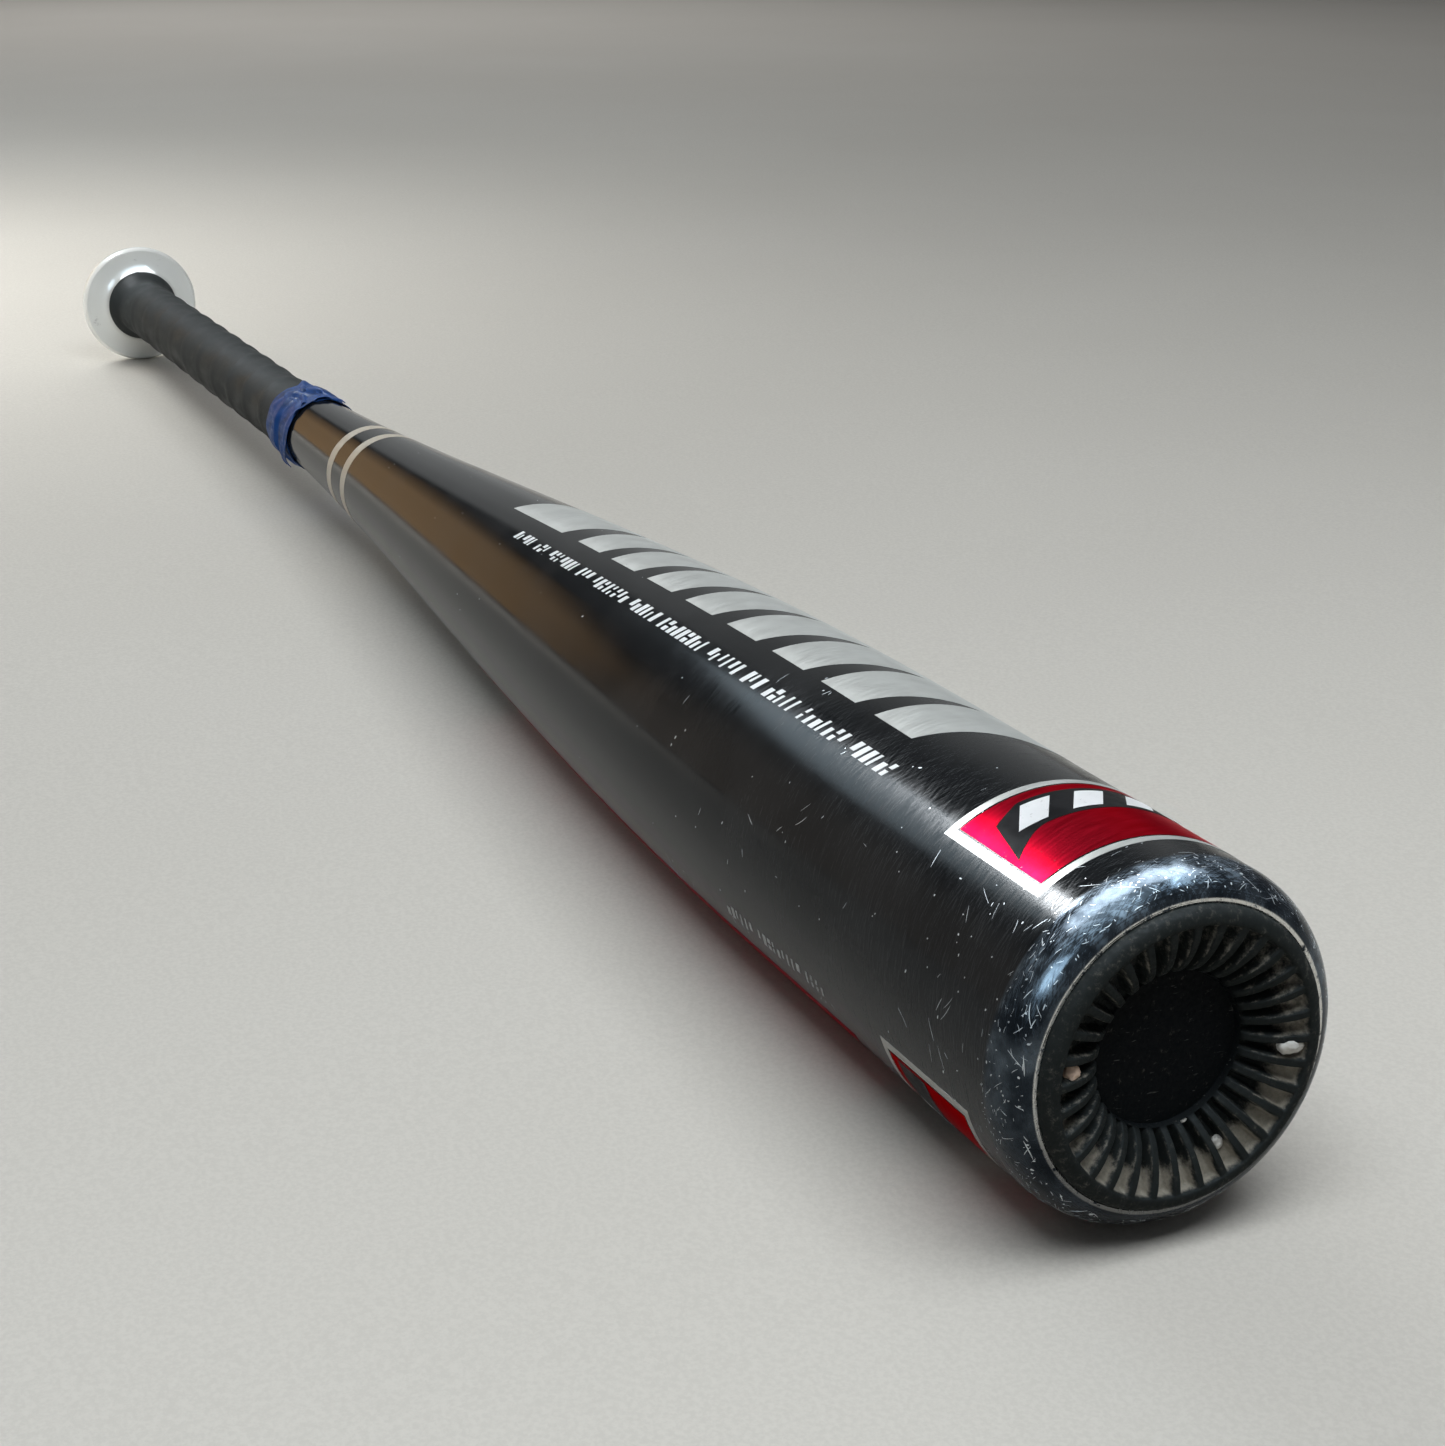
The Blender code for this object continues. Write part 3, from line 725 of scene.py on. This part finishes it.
def grip_strip(surface):
    """One strip wound from the knob up, each turn lapping the last one's edge."""
    body = Body()
    lower = []
    upper = []
    across = [0.0, 0.015, 0.04, 0.1, 0.14, 0.18, 0.23, 0.3, 0.45, 0.62, 0.8, 0.92, 0.98, 1.0]
    length = GRIP_END_X - COLLAR_START_X
    turns = length / GRIP_PITCH + 1.0
    count = int(turns * GRIP_STATIONS)
    for station in range(2, count):
        run = station / GRIP_STATIONS * GRIP_PITCH
        turn = station / GRIP_STATIONS * 360.0
        low = run - GRIP_PITCH
        high = run + GRIP_LAP
        bottom = []
        top = []
        for share in across:
            offset = low + (high - low) * share
            x = COLLAR_START_X + min(max(offset, 0.0), length - 0.02 * MM * (1.0 - share))
            lapped = 1.0 - smooth(GRIP_LAP, GRIP_LAP + 5.0 * MM, offset - low)
            under = GRIP_THICKNESS * lapped * (1.0 if low > 0.0 else 0.0)
            edge = 0.75 + 0.25 * smooth(0.0, 0.04, share) * smooth(1.0, 0.96, share)
            spot = at(x, body_radius(x), turn)
            puff = GRIP_PUFF * noise.noise(spot * GRIP_PUFF_SCALE)
            base = grip_base(x) + GRIP_GAP + under
            bottom.append(at(x, base, turn))
            top.append(at(x, base + GRIP_THICKNESS * edge + puff, turn))
        lower.append(body.row(bottom))
        upper.append(body.row(top))
        # Painted shade along both edges of the strip, where the turns lap.
        shade = [1.0 if share > 0.93 or share < 0.01 else 0.0 for share in across]
        body.marks[-len(across) :] = shade
    body.shut(lower, upper)
    return body.piece("grip_strip", surface, replaces=["grip_wrap"], sharp=55.0)


TAPE_FIRST_TURN = -34.0
TAPE_LAST_TURN = 495.0
TAPE_TIP_TURNS = 34.0
TAPE_TAIL_TURNS = 60.0
TAPE_LAYER = 0.40 * MM
TAPE_THICKNESS = 0.22 * MM
TAPE_GAP = 0.12 * MM
GRIP_EDGE_RISE = 1.15 * MM


def tape_band(surface):
    """Vinyl tape wound over the end of the grip, pleated, with two loose ends."""
    body = Body()
    lower = []
    upper = []
    middle = (TAPE_START_X + TAPE_END_X) / 2
    half = (TAPE_END_X - TAPE_START_X) / 2
    across = spread(-1.0, 1.0, 22)
    for turn in spread(TAPE_FIRST_TURN, TAPE_LAST_TURN, 260):
        layer = TAPE_LAYER * (turn - TAPE_FIRST_TURN) / 360.0
        tip = 1.0 - smooth(TAPE_FIRST_TURN, TAPE_FIRST_TURN + TAPE_TIP_TURNS, turn)
        tail = smooth(TAPE_LAST_TURN - TAPE_TAIL_TURNS, TAPE_LAST_TURN, turn)
        second = smooth(300.0, 420.0, turn)
        centre = middle + 13.0 * MM * tip + 5.5 * MM * second
        width = half * (1.0 - 0.82 * tip) * (1.0 - 0.62 * tail) * (1.0 - 0.30 * second)
        bottom = []
        top = []
        marks = []
        for share in across:
            ripple = noise.noise(Vector((turn * 0.035, share * 0.7, 3.0)))
            x = centre + width * share + 2.4 * MM * ripple * abs(share)
            over = 1.0 - smooth(GRIP_END_X + 0.5 * MM, GRIP_END_X + 3.0 * MM, x)
            pleat = noise.noise(Vector((turn * 0.05 + share * 1.3, share * 2.1, 9.0)))
            fold = math.exp(-(((turn - 12.0 - 16.0 * share) / 5.0) ** 2))
            fold += 0.7 * math.exp(-(((turn - 372.0 + 20.0 * share) / 6.0) ** 2))
            lift = TAPE_GAP + layer + GRIP_EDGE_RISE * over
            lift += 0.85 * MM * max(0.0, pleat) + 1.0 * MM * fold
            lift += 2.0 * MM * tail * tail + 1.0 * MM * tip
            base = body_radius(x) + lift
            bottom.append(at(x, base, turn))
            top.append(at(x, base + TAPE_THICKNESS, turn))
            # Painted shade in the low valleys between the raised pleats.
            marks.append(max(0.0, -pleat * 1.6))
        lower.append(body.row(bottom))
        body.marks[-len(marks) :] = marks
        upper.append(body.row(top))
        body.marks[-len(marks) :] = marks
    body.shut(lower, upper)
    return body.piece("tape_band", surface, replaces=["finish_tape"], sharp=60.0)


def ring_print(name, node, surface):
    """Painted ring right round the taper."""
    low, high = reach(node)
    body = Body()
    grid = rectangle(spread(low, high, 4), spread(0.0, 360.0, COLUMNS))
    body.slab(grid, FOIL_LIFT, FOIL_THICKNESS)
    return body.piece(name, surface, replaces=[node])


PANEL_TURNS = (-72.5, 36.5)
BORDER = 1.9 * MM
BORDER_TURN = 3.2
KEYLINE = 0.45 * MM
KEYLINE_TURN = 0.8
TURN_STEPS = 72
BAND_INSET = 5.0 * MM
BAND_WIDTH = 10.0 * MM
BAND_TIP_TURNS = 11.0
SLASH_TURNS = (-27.0, -84.0)
SLASH_COUNT = 4
SLASH_HALF_TURNS = 5.2
SLASH_LEAN_TURNS = 8.0
SLASH_INSET = 1.4 * MM


def foil_panel(side, node, offset, silver, red, black, white):
    """Red foil field with a silver frame, a black arrow band and pale slashes."""
    low, high = PANEL_START_X, PANEL_END_X
    first, last = (turn + offset for turn in PANEL_TURNS)
    inset = BORDER + KEYLINE
    inset_turn = BORDER_TURN + KEYLINE_TURN
    field = Body()
    xs = spread(low + inset, high - inset, 12)
    turns = spread(first + inset_turn, last - inset_turn, TURN_STEPS)
    field.slab(rectangle(xs, turns), FOIL_LIFT, FOIL_THICKNESS)
    field.piece(f"foil_field_{side}", red, replaces=[node])

    rim = Body()
    inner_turns = spread(first + BORDER_TURN, last - BORDER_TURN, TURN_STEPS)
    whole = spread(low, high, 12)
    rim.slab(rectangle(spread(low, low + BORDER, 3), inner_turns), FOIL_LIFT, FOIL_THICKNESS)
    rim.slab(rectangle(spread(high - BORDER, high, 3), inner_turns), FOIL_LIFT, FOIL_THICKNESS)
    rim.slab(rectangle(whole, spread(first, first + BORDER_TURN, 4)), FOIL_LIFT, FOIL_THICKNESS)
    rim.slab(rectangle(whole, spread(last - BORDER_TURN, last, 4)), FOIL_LIFT, FOIL_THICKNESS)
    rim.piece(f"foil_frame_{side}", silver)

    band = Body()
    band_low = low + BAND_INSET
    band_high = band_low + BAND_WIDTH
    tip_turn = last - BAND_TIP_TURNS
    grid = []
    for turn in spread(first + inset_turn + 1.0, tip_turn, TURN_STEPS):
        spike = max(0.0, 1.0 - (tip_turn - turn) / BAND_TIP_TURNS)
        start = band_low + 3.4 * MM * spike
        end = band_high + 5.5 * MM * spike**1.5
        line = []
        for share in spread(0.0, 1.0, 8):
            line.append((start + (end - start) * share, turn + 5.0 * spike * share))
        grid.append(line)
    band.slab(grid, SECOND_LIFT, FOIL_THICKNESS)
    band.piece(f"arrow_band_{side}", black)

    slashes = Body()
    for start in spread(*SLASH_TURNS, SLASH_COUNT - 1):
        grid = []
        for share in spread(0.0, 1.0, 8):
            x = band_low + SLASH_INSET + (BAND_WIDTH - 2.0 * SLASH_INSET) * share
            centre = last + start + SLASH_LEAN_TURNS * share
            grid.append([(x, centre + t) for t in spread(-SLASH_HALF_TURNS, SLASH_HALF_TURNS, 8)])
        slashes.slab(grid, THIRD_LIFT, FOIL_THICKNESS)
    slashes.piece(f"band_slashes_{side}", white)


BAR_FOOT_TURN = 15.0
BAR_HEAD_TURN = -50.0
BAR_TIP_TURN = -24.0
RAIL_TURN = -56.0
BAR_SLANT = 10.0 * MM
FIRST_BAR_WIDTH = 38.0 * MM
BAR_WIDTH = 15.0 * MM
BAR_PITCH = 23.1 * MM
FIRST_TO_SECOND = 50.0 * MM
BAR_COUNT = 8


def bar_starts():
    """(start, width, gap before the next bar) of each bar at its foot."""
    bars = [(BARS_START_X, FIRST_BAR_WIDTH, FIRST_TO_SECOND - FIRST_BAR_WIDTH)]
    second = BARS_START_X + FIRST_TO_SECOND
    gap = BAR_PITCH - BAR_WIDTH
    bars += [(second + i * BAR_PITCH, BAR_WIDTH, gap) for i in range(BAR_COUNT)]
    return bars


def bar_lean(turn):
    """How far along the bat a fin has leaned at this turn."""
    return BAR_SLANT * (BAR_FOOT_TURN - turn) / (BAR_FOOT_TURN - BAR_HEAD_TURN)


def bar_graphic(side, node, offset, surface):
    """Plain slanted fins that grow together towards their heads, under one long rail."""
    body = Body()
    bars = bar_starts()
    for index, (start, width, gap_after) in enumerate(bars):
        gap_before = bars[index - 1][2] if index else 0.0
        grid = []
        for turn in spread(BAR_FOOT_TURN, RAIL_TURN, 30):
            rise = min(1.0, (BAR_FOOT_TURN - turn) / (BAR_FOOT_TURN - BAR_TIP_TURN))
            grow = 0.5 * (1.0 - (1.0 - rise) ** 0.65)
            low = start - gap_before * grow + bar_lean(turn)
            high = start + width + gap_after * grow + bar_lean(turn)
            grid.append([(x, turn + offset) for x in spread(low, high, 8)])
        body.slab(grid, FOIL_LIFT, FOIL_THICKNESS)
    body.piece(f"bars_{side}", surface, replaces=[node])


DASH_LEAN = 1.1 * MM
DASH_WIDTHS = (0.34, 0.5, 0.66)
DASH_GAP = 0.9
DASH_SHAPES = (
    ((0.0, 1.0),),
    ((0.0, 0.40), (0.60, 1.0)),
    ((0.0, 0.72),),
    ((0.28, 1.0),),
    ((0.0, 1.0),),
)


def dashes(name, node, span, turns, strokes, surface, seed):
    """A row of slanted dashes in uneven groups, in place of small print."""
    picker = random.Random(seed)
    low, high = span
    body = Body()
    x = low
    left_in_group = picker.randint(4, 7)
    stroke = (high - low) / strokes
    while x < high - stroke:
        width = stroke * picker.choice(DASH_WIDTHS)
        for part in picker.choice(DASH_SHAPES):
            grid = []
            for share in spread(part[0], part[1], 4):
                turn = turns[1] + (turns[0] - turns[1]) * share
                left = x + DASH_LEAN * share
                grid.append([(left, turn), (left + width / 2, turn), (left + width, turn)])
            body.slab(grid, FOIL_LIFT, FOIL_THICKNESS)
        x += stroke
        left_in_group -= 1
        if left_in_group == 0:
            x += stroke * DASH_GAP
            left_in_group = picker.randint(3, 9)
    return body.piece(name, surface, replaces=[node])


SCRATCH_LIFT = 0.005 * MM
SCRATCH_THICKNESS = 0.018 * MM
SCRATCH_END_X = LIP_X - 0.8 * MM


def scratches(name, seed, count, x_range, length, width, pull, surface):
    """Short tapered scratches and chips, most of them near the barrel's end."""
    picker = random.Random(seed)
    body = Body()
    for _ in range(count):
        share = picker.random() ** pull
        x = x_range[1] - (x_range[1] - x_range[0]) * share
        turn = picker.uniform(-180.0, 180.0)
        angle = math.radians(picker.gauss(90.0, 38.0))
        long = length * (0.35 + picker.random() ** 2)
        wide = width * picker.uniform(0.5, 1.4)
        bend = picker.uniform(-0.25, 0.25)
        grid = []
        for a in spread(-0.5, 0.5, 8):
            taper = math.sqrt(max(0.0, 1.0 - (2.0 * a) ** 2)) * 0.9 + 0.1
            line = []
            for b in (-0.5, 0.5):
                step = b * wide * taper + bend * long * a * a
                dx = a * long * math.cos(angle) - step * math.sin(angle)
                around = a * long * math.sin(angle) + step * math.cos(angle)
                here = min(x + dx, SCRATCH_END_X)
                line.append((here, turn + math.degrees(around / BARREL_RADIUS)))
            grid.append(line)
        body.slab(grid, SCRATCH_LIFT, SCRATCH_THICKNESS)
    return body.piece(name, surface)


def pebble(name, radius, turn, sizes, seed, surface):
    """Small stone lodged between two ribs."""
    share = (radius - CAP_DISC_RADIUS) / (CAP_RING_RADIUS - CAP_DISC_RADIUS)
    crest = CAP_CROWN_X - CAP_DISC_DEPTH + CAP_STEP + crest_rise(share)
    depth = pocket_depth(radius, turn)
    centre = at(crest - max(0.0, depth - 0.45 * sizes[2]), radius, turn)
    outward = at(0.0, 1.0, turn)
    around = outward.cross(Vector((1.0, 0.0, 0.0)))
    bm = bmesh.new()
    bmesh.ops.create_icosphere(bm, subdivisions=4, radius=0.5)
    for vert in bm.verts:
        p = vert.co.copy()
        shape = 1.0 + 0.35 * noise.noise(p * 2.6 + Vector((seed, 0.0, 0.0)))
        shape += 0.10 * noise.noise(p * 9.0)
        p *= shape
        offset = outward * p.x * sizes[0] + around * p.y * sizes[1]
        vert.co = centre + offset + Vector((p.z * sizes[2], 0.0, 0.0))
    body = Body()
    body.verts = [v.co.copy() for v in bm.verts]
    body.marks = [0.0] * len(body.verts)
    body.faces = [[v.index for v in f.verts] for f in bm.faces]
    bm.free()
    return body.piece(name, surface, sharp=80.0)


# ---- Stage: floor, light and camera ---------------------------------------------------
CAMERA_PLACE = (0.7172, -0.2208, 0.2261)
CAMERA_HEADING = 155.53
CAMERA_PITCH = -19.84
CAMERA_ROLL = 0.17
CAMERA_LENS = 61.08
CARD_X = -2.4
FLOOR_HALF = 7.0
FLOOR_GAP = 0.02 * MM


def direction(heading, pitch):
    """Unit vector at this heading and height angle, in degrees."""
    h, p = math.radians(heading), math.radians(pitch)
    return Vector((math.cos(p) * math.cos(h), math.cos(p) * math.sin(h), math.sin(p)))


def camera():
    """Camera at the photo's place and angle."""
    data = bpy.data.cameras.new("camera")
    data.lens = CAMERA_LENS
    data.sensor_width = 36.0
    data.clip_start = 0.01
    made = bpy.data.objects.new("camera", data)
    bpy.context.scene.collection.objects.link(made)
    made.location = CAMERA_PLACE
    ahead = direction(CAMERA_HEADING, CAMERA_PITCH)
    made.rotation_mode = "QUATERNION"
    roll = Quaternion((0.0, 0.0, 1.0), math.radians(CAMERA_ROLL))
    made.rotation_quaternion = ahead.to_track_quat("-Z", "Y") @ roll
    bpy.context.scene.camera = made


def area_light(name, offset, size, radiance, color, facing=True):
    """Soft light at an offset from the barrel's end, facing it or flat above it.
    Its radiance is what a mirror would show of it."""
    data = bpy.data.lights.new(name, "AREA")
    data.shape = "RECTANGLE"
    data.size, data.size_y = size
    data.energy = radiance * math.pi * size[0] * size[1]
    data.color = color
    made = bpy.data.objects.new(name, data)
    bpy.context.scene.collection.objects.link(made)
    made.location = BAT_AXES @ Vector((LIP_X, 0.0, 0.0)) + offset
    if facing:
        made.rotation_mode = "QUATERNION"
        made.rotation_quaternion = offset.to_track_quat("Z", "Y")
    made.visible_camera = False
    return made


def card(name, color, tops, fade):
    """Upright card beyond the knob, seen only in the bat's gloss, dimming over its
    top and ends; tops is (y, z) along its top edge."""
    s = Shader(name, (0.0, 0.0, 0.0), 1.0)
    streaks = s.noise((0.5, 6.0, 0.6), 2.0)
    lit = s.mix(streaks, [c * 0.85 for c in color], [c * 1.15 for c in color])
    s.use(emission_color=s.mix(s.mark(), (0.0, 0.0, 0.0), lit))
    s.set("Emission Strength", 1.0)
    mesh = bpy.data.meshes.new(name)
    verts = []
    marks = []
    for index, (y, z) in enumerate(tops):
        inner = 0.0 if index in (0, len(tops) - 1) else 1.0
        verts += [Vector((CARD_X, y, height)) for height in (0.0, z - fade, z + fade)]
        marks += [inner, inner, 0.0]
    faces = []
    for i in range(0, len(verts) - 3, 3):
        faces += [(i, i + 3, i + 4, i + 1), (i + 1, i + 4, i + 5, i + 2)]
    mesh.from_pydata(verts, [], faces)
    mesh.attributes.new("mark", "FLOAT", "POINT").data.foreach_set("value", marks)
    mesh.materials.append(s.material)
    made = bpy.data.objects.new(name, mesh)
    bpy.context.scene.collection.objects.link(made)
    made.visible_camera = False
    made.visible_diffuse = False
    made.visible_shadow = False
    made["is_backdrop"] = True


def stage(lowest):
    """Plain pale paper floor just under the bat."""
    s = Shader("floor_paper", (0.64, 0.615, 0.575), 1.0, specular_ior_level=0.0)
    clouds = s.noise(3.0, 3.0)
    grain = s.noise(900.0, 3.0, 0.7)
    color = s.mix(clouds, (0.600, 0.572, 0.522), (0.665, 0.640, 0.592))
    color = s.mix(s.ramp(grain, 0.35, 0.65, 0.0, 0.35), color, (0.50, 0.475, 0.435))
    surface = s.use(base_color=color)
    mesh = bpy.data.meshes.new("floor")
    corners = [(-1, -1, 0), (1, -1, 0), (1, 1, 0), (-1, 1, 0)]
    mesh.from_pydata([Vector(c) * FLOOR_HALF for c in corners], [], [(0, 1, 2, 3)])
    mesh.materials.append(surface)
    floor = bpy.data.objects.new("floor", mesh)
    floor.location.z = lowest - FLOOR_GAP
    bpy.context.scene.collection.objects.link(floor)
    floor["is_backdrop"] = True


def world():
    """Faint even light, and colours shown as they are."""
    made = bpy.data.worlds.new("studio")
    made.use_nodes = True
    back = made.node_tree.nodes["Background"]
    back.inputs["Color"].default_value = (0.93, 0.96, 1.0, 1.0)
    back.inputs["Strength"].default_value = 0.10
    bpy.context.scene.world = made
    bpy.context.scene.view_settings.view_transform = "Standard"


COOL = (0.92, 0.965, 1.0)
WARM = (1.0, 0.985, 0.95)
BLUE = (0.7, 0.88, 1.0)
WHITE = (1.0, 1.0, 1.0)


def soft_lights():
    """Lights for the floor and the matte surfaces, not seen in the gloss."""
    above = Vector((0.28, -0.08, 1.1))
    by_knob = Vector((-1.12, -0.30, 0.42))
    beyond = Vector((-3.4, 0.5, 1.6))
    for soft in (
        area_light("overhead", above, (0.7, 1.3), 5.1, COOL, facing=False),
        area_light("pool", by_knob, (0.5, 0.5), 4.6, WARM, facing=False),
        area_light("far_fill", beyond, (1.6, 1.6), 3.0, WHITE),
    ):
        soft.visible_glossy = False


def gloss_lights():
    """Strips and windows seen in the gloss; of these only the faint glow lights the floor."""
    over_barrel = Vector((-0.30, 0.12, 1.12))
    over_end = Vector((0.25, 0.05, 1.1))
    for bright in (
        area_light("strip", over_barrel, (0.55, 1.6), 13.0, COOL, facing=False),
        area_light("front_strip", over_end, (0.5, 1.2), 36.0, BLUE, facing=False),
        area_light("side_window", 2.0 * direction(-58.0, 32.0), (0.9, 0.7), 9.0, BLUE),
        area_light("window", 2.2 * direction(195.5, 40.5), (0.36, 0.38), 105.0, COOL),
    ):
        bright.visible_diffuse = False
    area_light("window_glow", 2.4 * direction(195.5, 31.0), (0.6, 0.5), 4.6, BLUE)


def cards():
    """Walls of the room as the enamel shows them."""
    wood = [(-1.2, 0.55), (-1.05, 0.62), (-0.8, 0.70), (-0.5, 0.76), (-0.3, 0.64)]
    wood += [(-0.1, 0.58), (0.0, 0.58)]
    card("wood_wall", (0.98, 0.62, 0.31), wood, 0.14)
    dim = [(-3.4, 1.5), (-3.2, 1.5), (-1.3, 1.3), (-0.9, 1.2)]
    card("dim_wall", (0.50, 0.43, 0.36), dim, 0.3)
    paper = [(0.0, 1.7), (0.12, 1.7), (2.2, 1.7), (2.5, 1.7)]
    card("paper_wall", (0.46, 0.475, 0.475), paper, 0.15)


def silver_foil():
    dark, bright, edge = (0.25, 0.247, 0.232), (0.375, 0.372, 0.352), (1.0, 1.0, 1.0)
    return foil("silver_foil", dark, bright, 0.40, metallic=0.75, coat=0.2, edge=edge)


def red_foil():
    dark, bright, edge = (0.16, 0.006, 0.012), (0.33, 0.009, 0.022), (1.0, 0.12, 0.16)
    return foil("red_foil", dark, bright, 0.30, metallic=1.0, coat=0.0, edge=edge)


def bat():
    """Every main piece of the bat."""
    silver = silver_foil()
    red = red_foil()
    white = print_ink("white_print", (0.72, 0.73, 0.74), (0.86, 0.87, 0.88))
    grey = print_ink("grey_print", (0.28, 0.29, 0.29), (0.38, 0.39, 0.39))
    cream = print_ink("cream_print", (0.42, 0.37, 0.30), (0.58, 0.52, 0.43))
    black = print_ink("black_print", (0.006, 0.006, 0.007), (0.012, 0.012, 0.013), 0.03)

    barrel_body(shell_paint())
    end_cap_rubber(cap_rubber())
    knob_body(knob_enamel())
    grip_strip(grip_synthetic())
    tape_band(blue_vinyl())
    ring_print("ring_barrel_side", "ring_stripe_barrel_side", cream)
    ring_print("ring_handle_side", "ring_stripe_handle_side", cream)
    foil_panel("top", "foil_panel_top", 0.0, silver, red, black, white)
    foil_panel("underside", "foil_panel_underside", 180.0, silver, red, black, white)
    bar_graphic("top", "bar_graphic_top", 0.0, silver)
    bar_graphic("underside", "bar_graphic_underside", 180.0, red)
    upper, lower = (26.4, 32.6), (108.0, 113.5)
    dashes("dashes_white", "print_line_white", WHITE_LINE_X, upper, 78, white, 3)
    dashes("dashes_grey", "print_line_grey", GREY_LINE_X, lower, 22, grey, 5)


def wear():
    """Scratches and chips in the enamel, most of them towards the end."""
    worn = scratch_metal()
    ends = (LIP_X - 150.0 * MM, LIP_X - 1.0 * MM)
    far = (LIP_X - 420.0 * MM, LIP_X - 8.0 * MM)
    scratches("scratches_end", 11, 260, ends, 3.4 * MM, 0.09 * MM, 3.0, worn)
    scratches("chips_end", 12, 160, ends, 0.7 * MM, 0.28 * MM, 2.6, worn)
    scratches("chips_far", 13, 120, far, 0.6 * MM, 0.24 * MM, 1.2, worn)

    shoulder = (LIP_X - 9.0 * MM, SCRATCH_END_X)
    scratches("scratches_shoulder", 14, 300, shoulder, 1.3 * MM, 0.06 * MM, 1.0, worn)
    scratches("chips_shoulder", 15, 240, shoulder, 0.4 * MM, 0.24 * MM, 1.0, worn)


def grit():
    """Small stones lodged in the cap."""
    pale = stone("stone_pale", (0.36, 0.35, 0.32), (0.60, 0.58, 0.53))
    tan = stone("stone_tan", (0.50, 0.34, 0.24), (0.72, 0.54, 0.42))
    pebble("pebble_right", 21.6 * MM, 266.0, (5.0 * MM, 3.0 * MM, 2.9 * MM), 1.0, pale)
    pebble("pebble_left", 21.4 * MM, 84.6, (3.0 * MM, 2.6 * MM, 3.0 * MM), 2.0, tan)
    pebble("pebble_low", 20.6 * MM, 207.0, (2.6 * MM, 2.2 * MM, 1.8 * MM), 3.0, pale)
    pebble("pebble_small", 15.8 * MM, 107.0, (1.2 * MM, 1.0 * MM, 1.0 * MM), 4.0, tan)
    pebble("pebble_fleck", 14.9 * MM, 196.0, (0.7 * MM, 1.5 * MM, 0.6 * MM), 5.0, pale)


bat()
wear()
grit()
camera()
world()
soft_lights()
gloss_lights()
cards()
stage(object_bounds()[0].z)
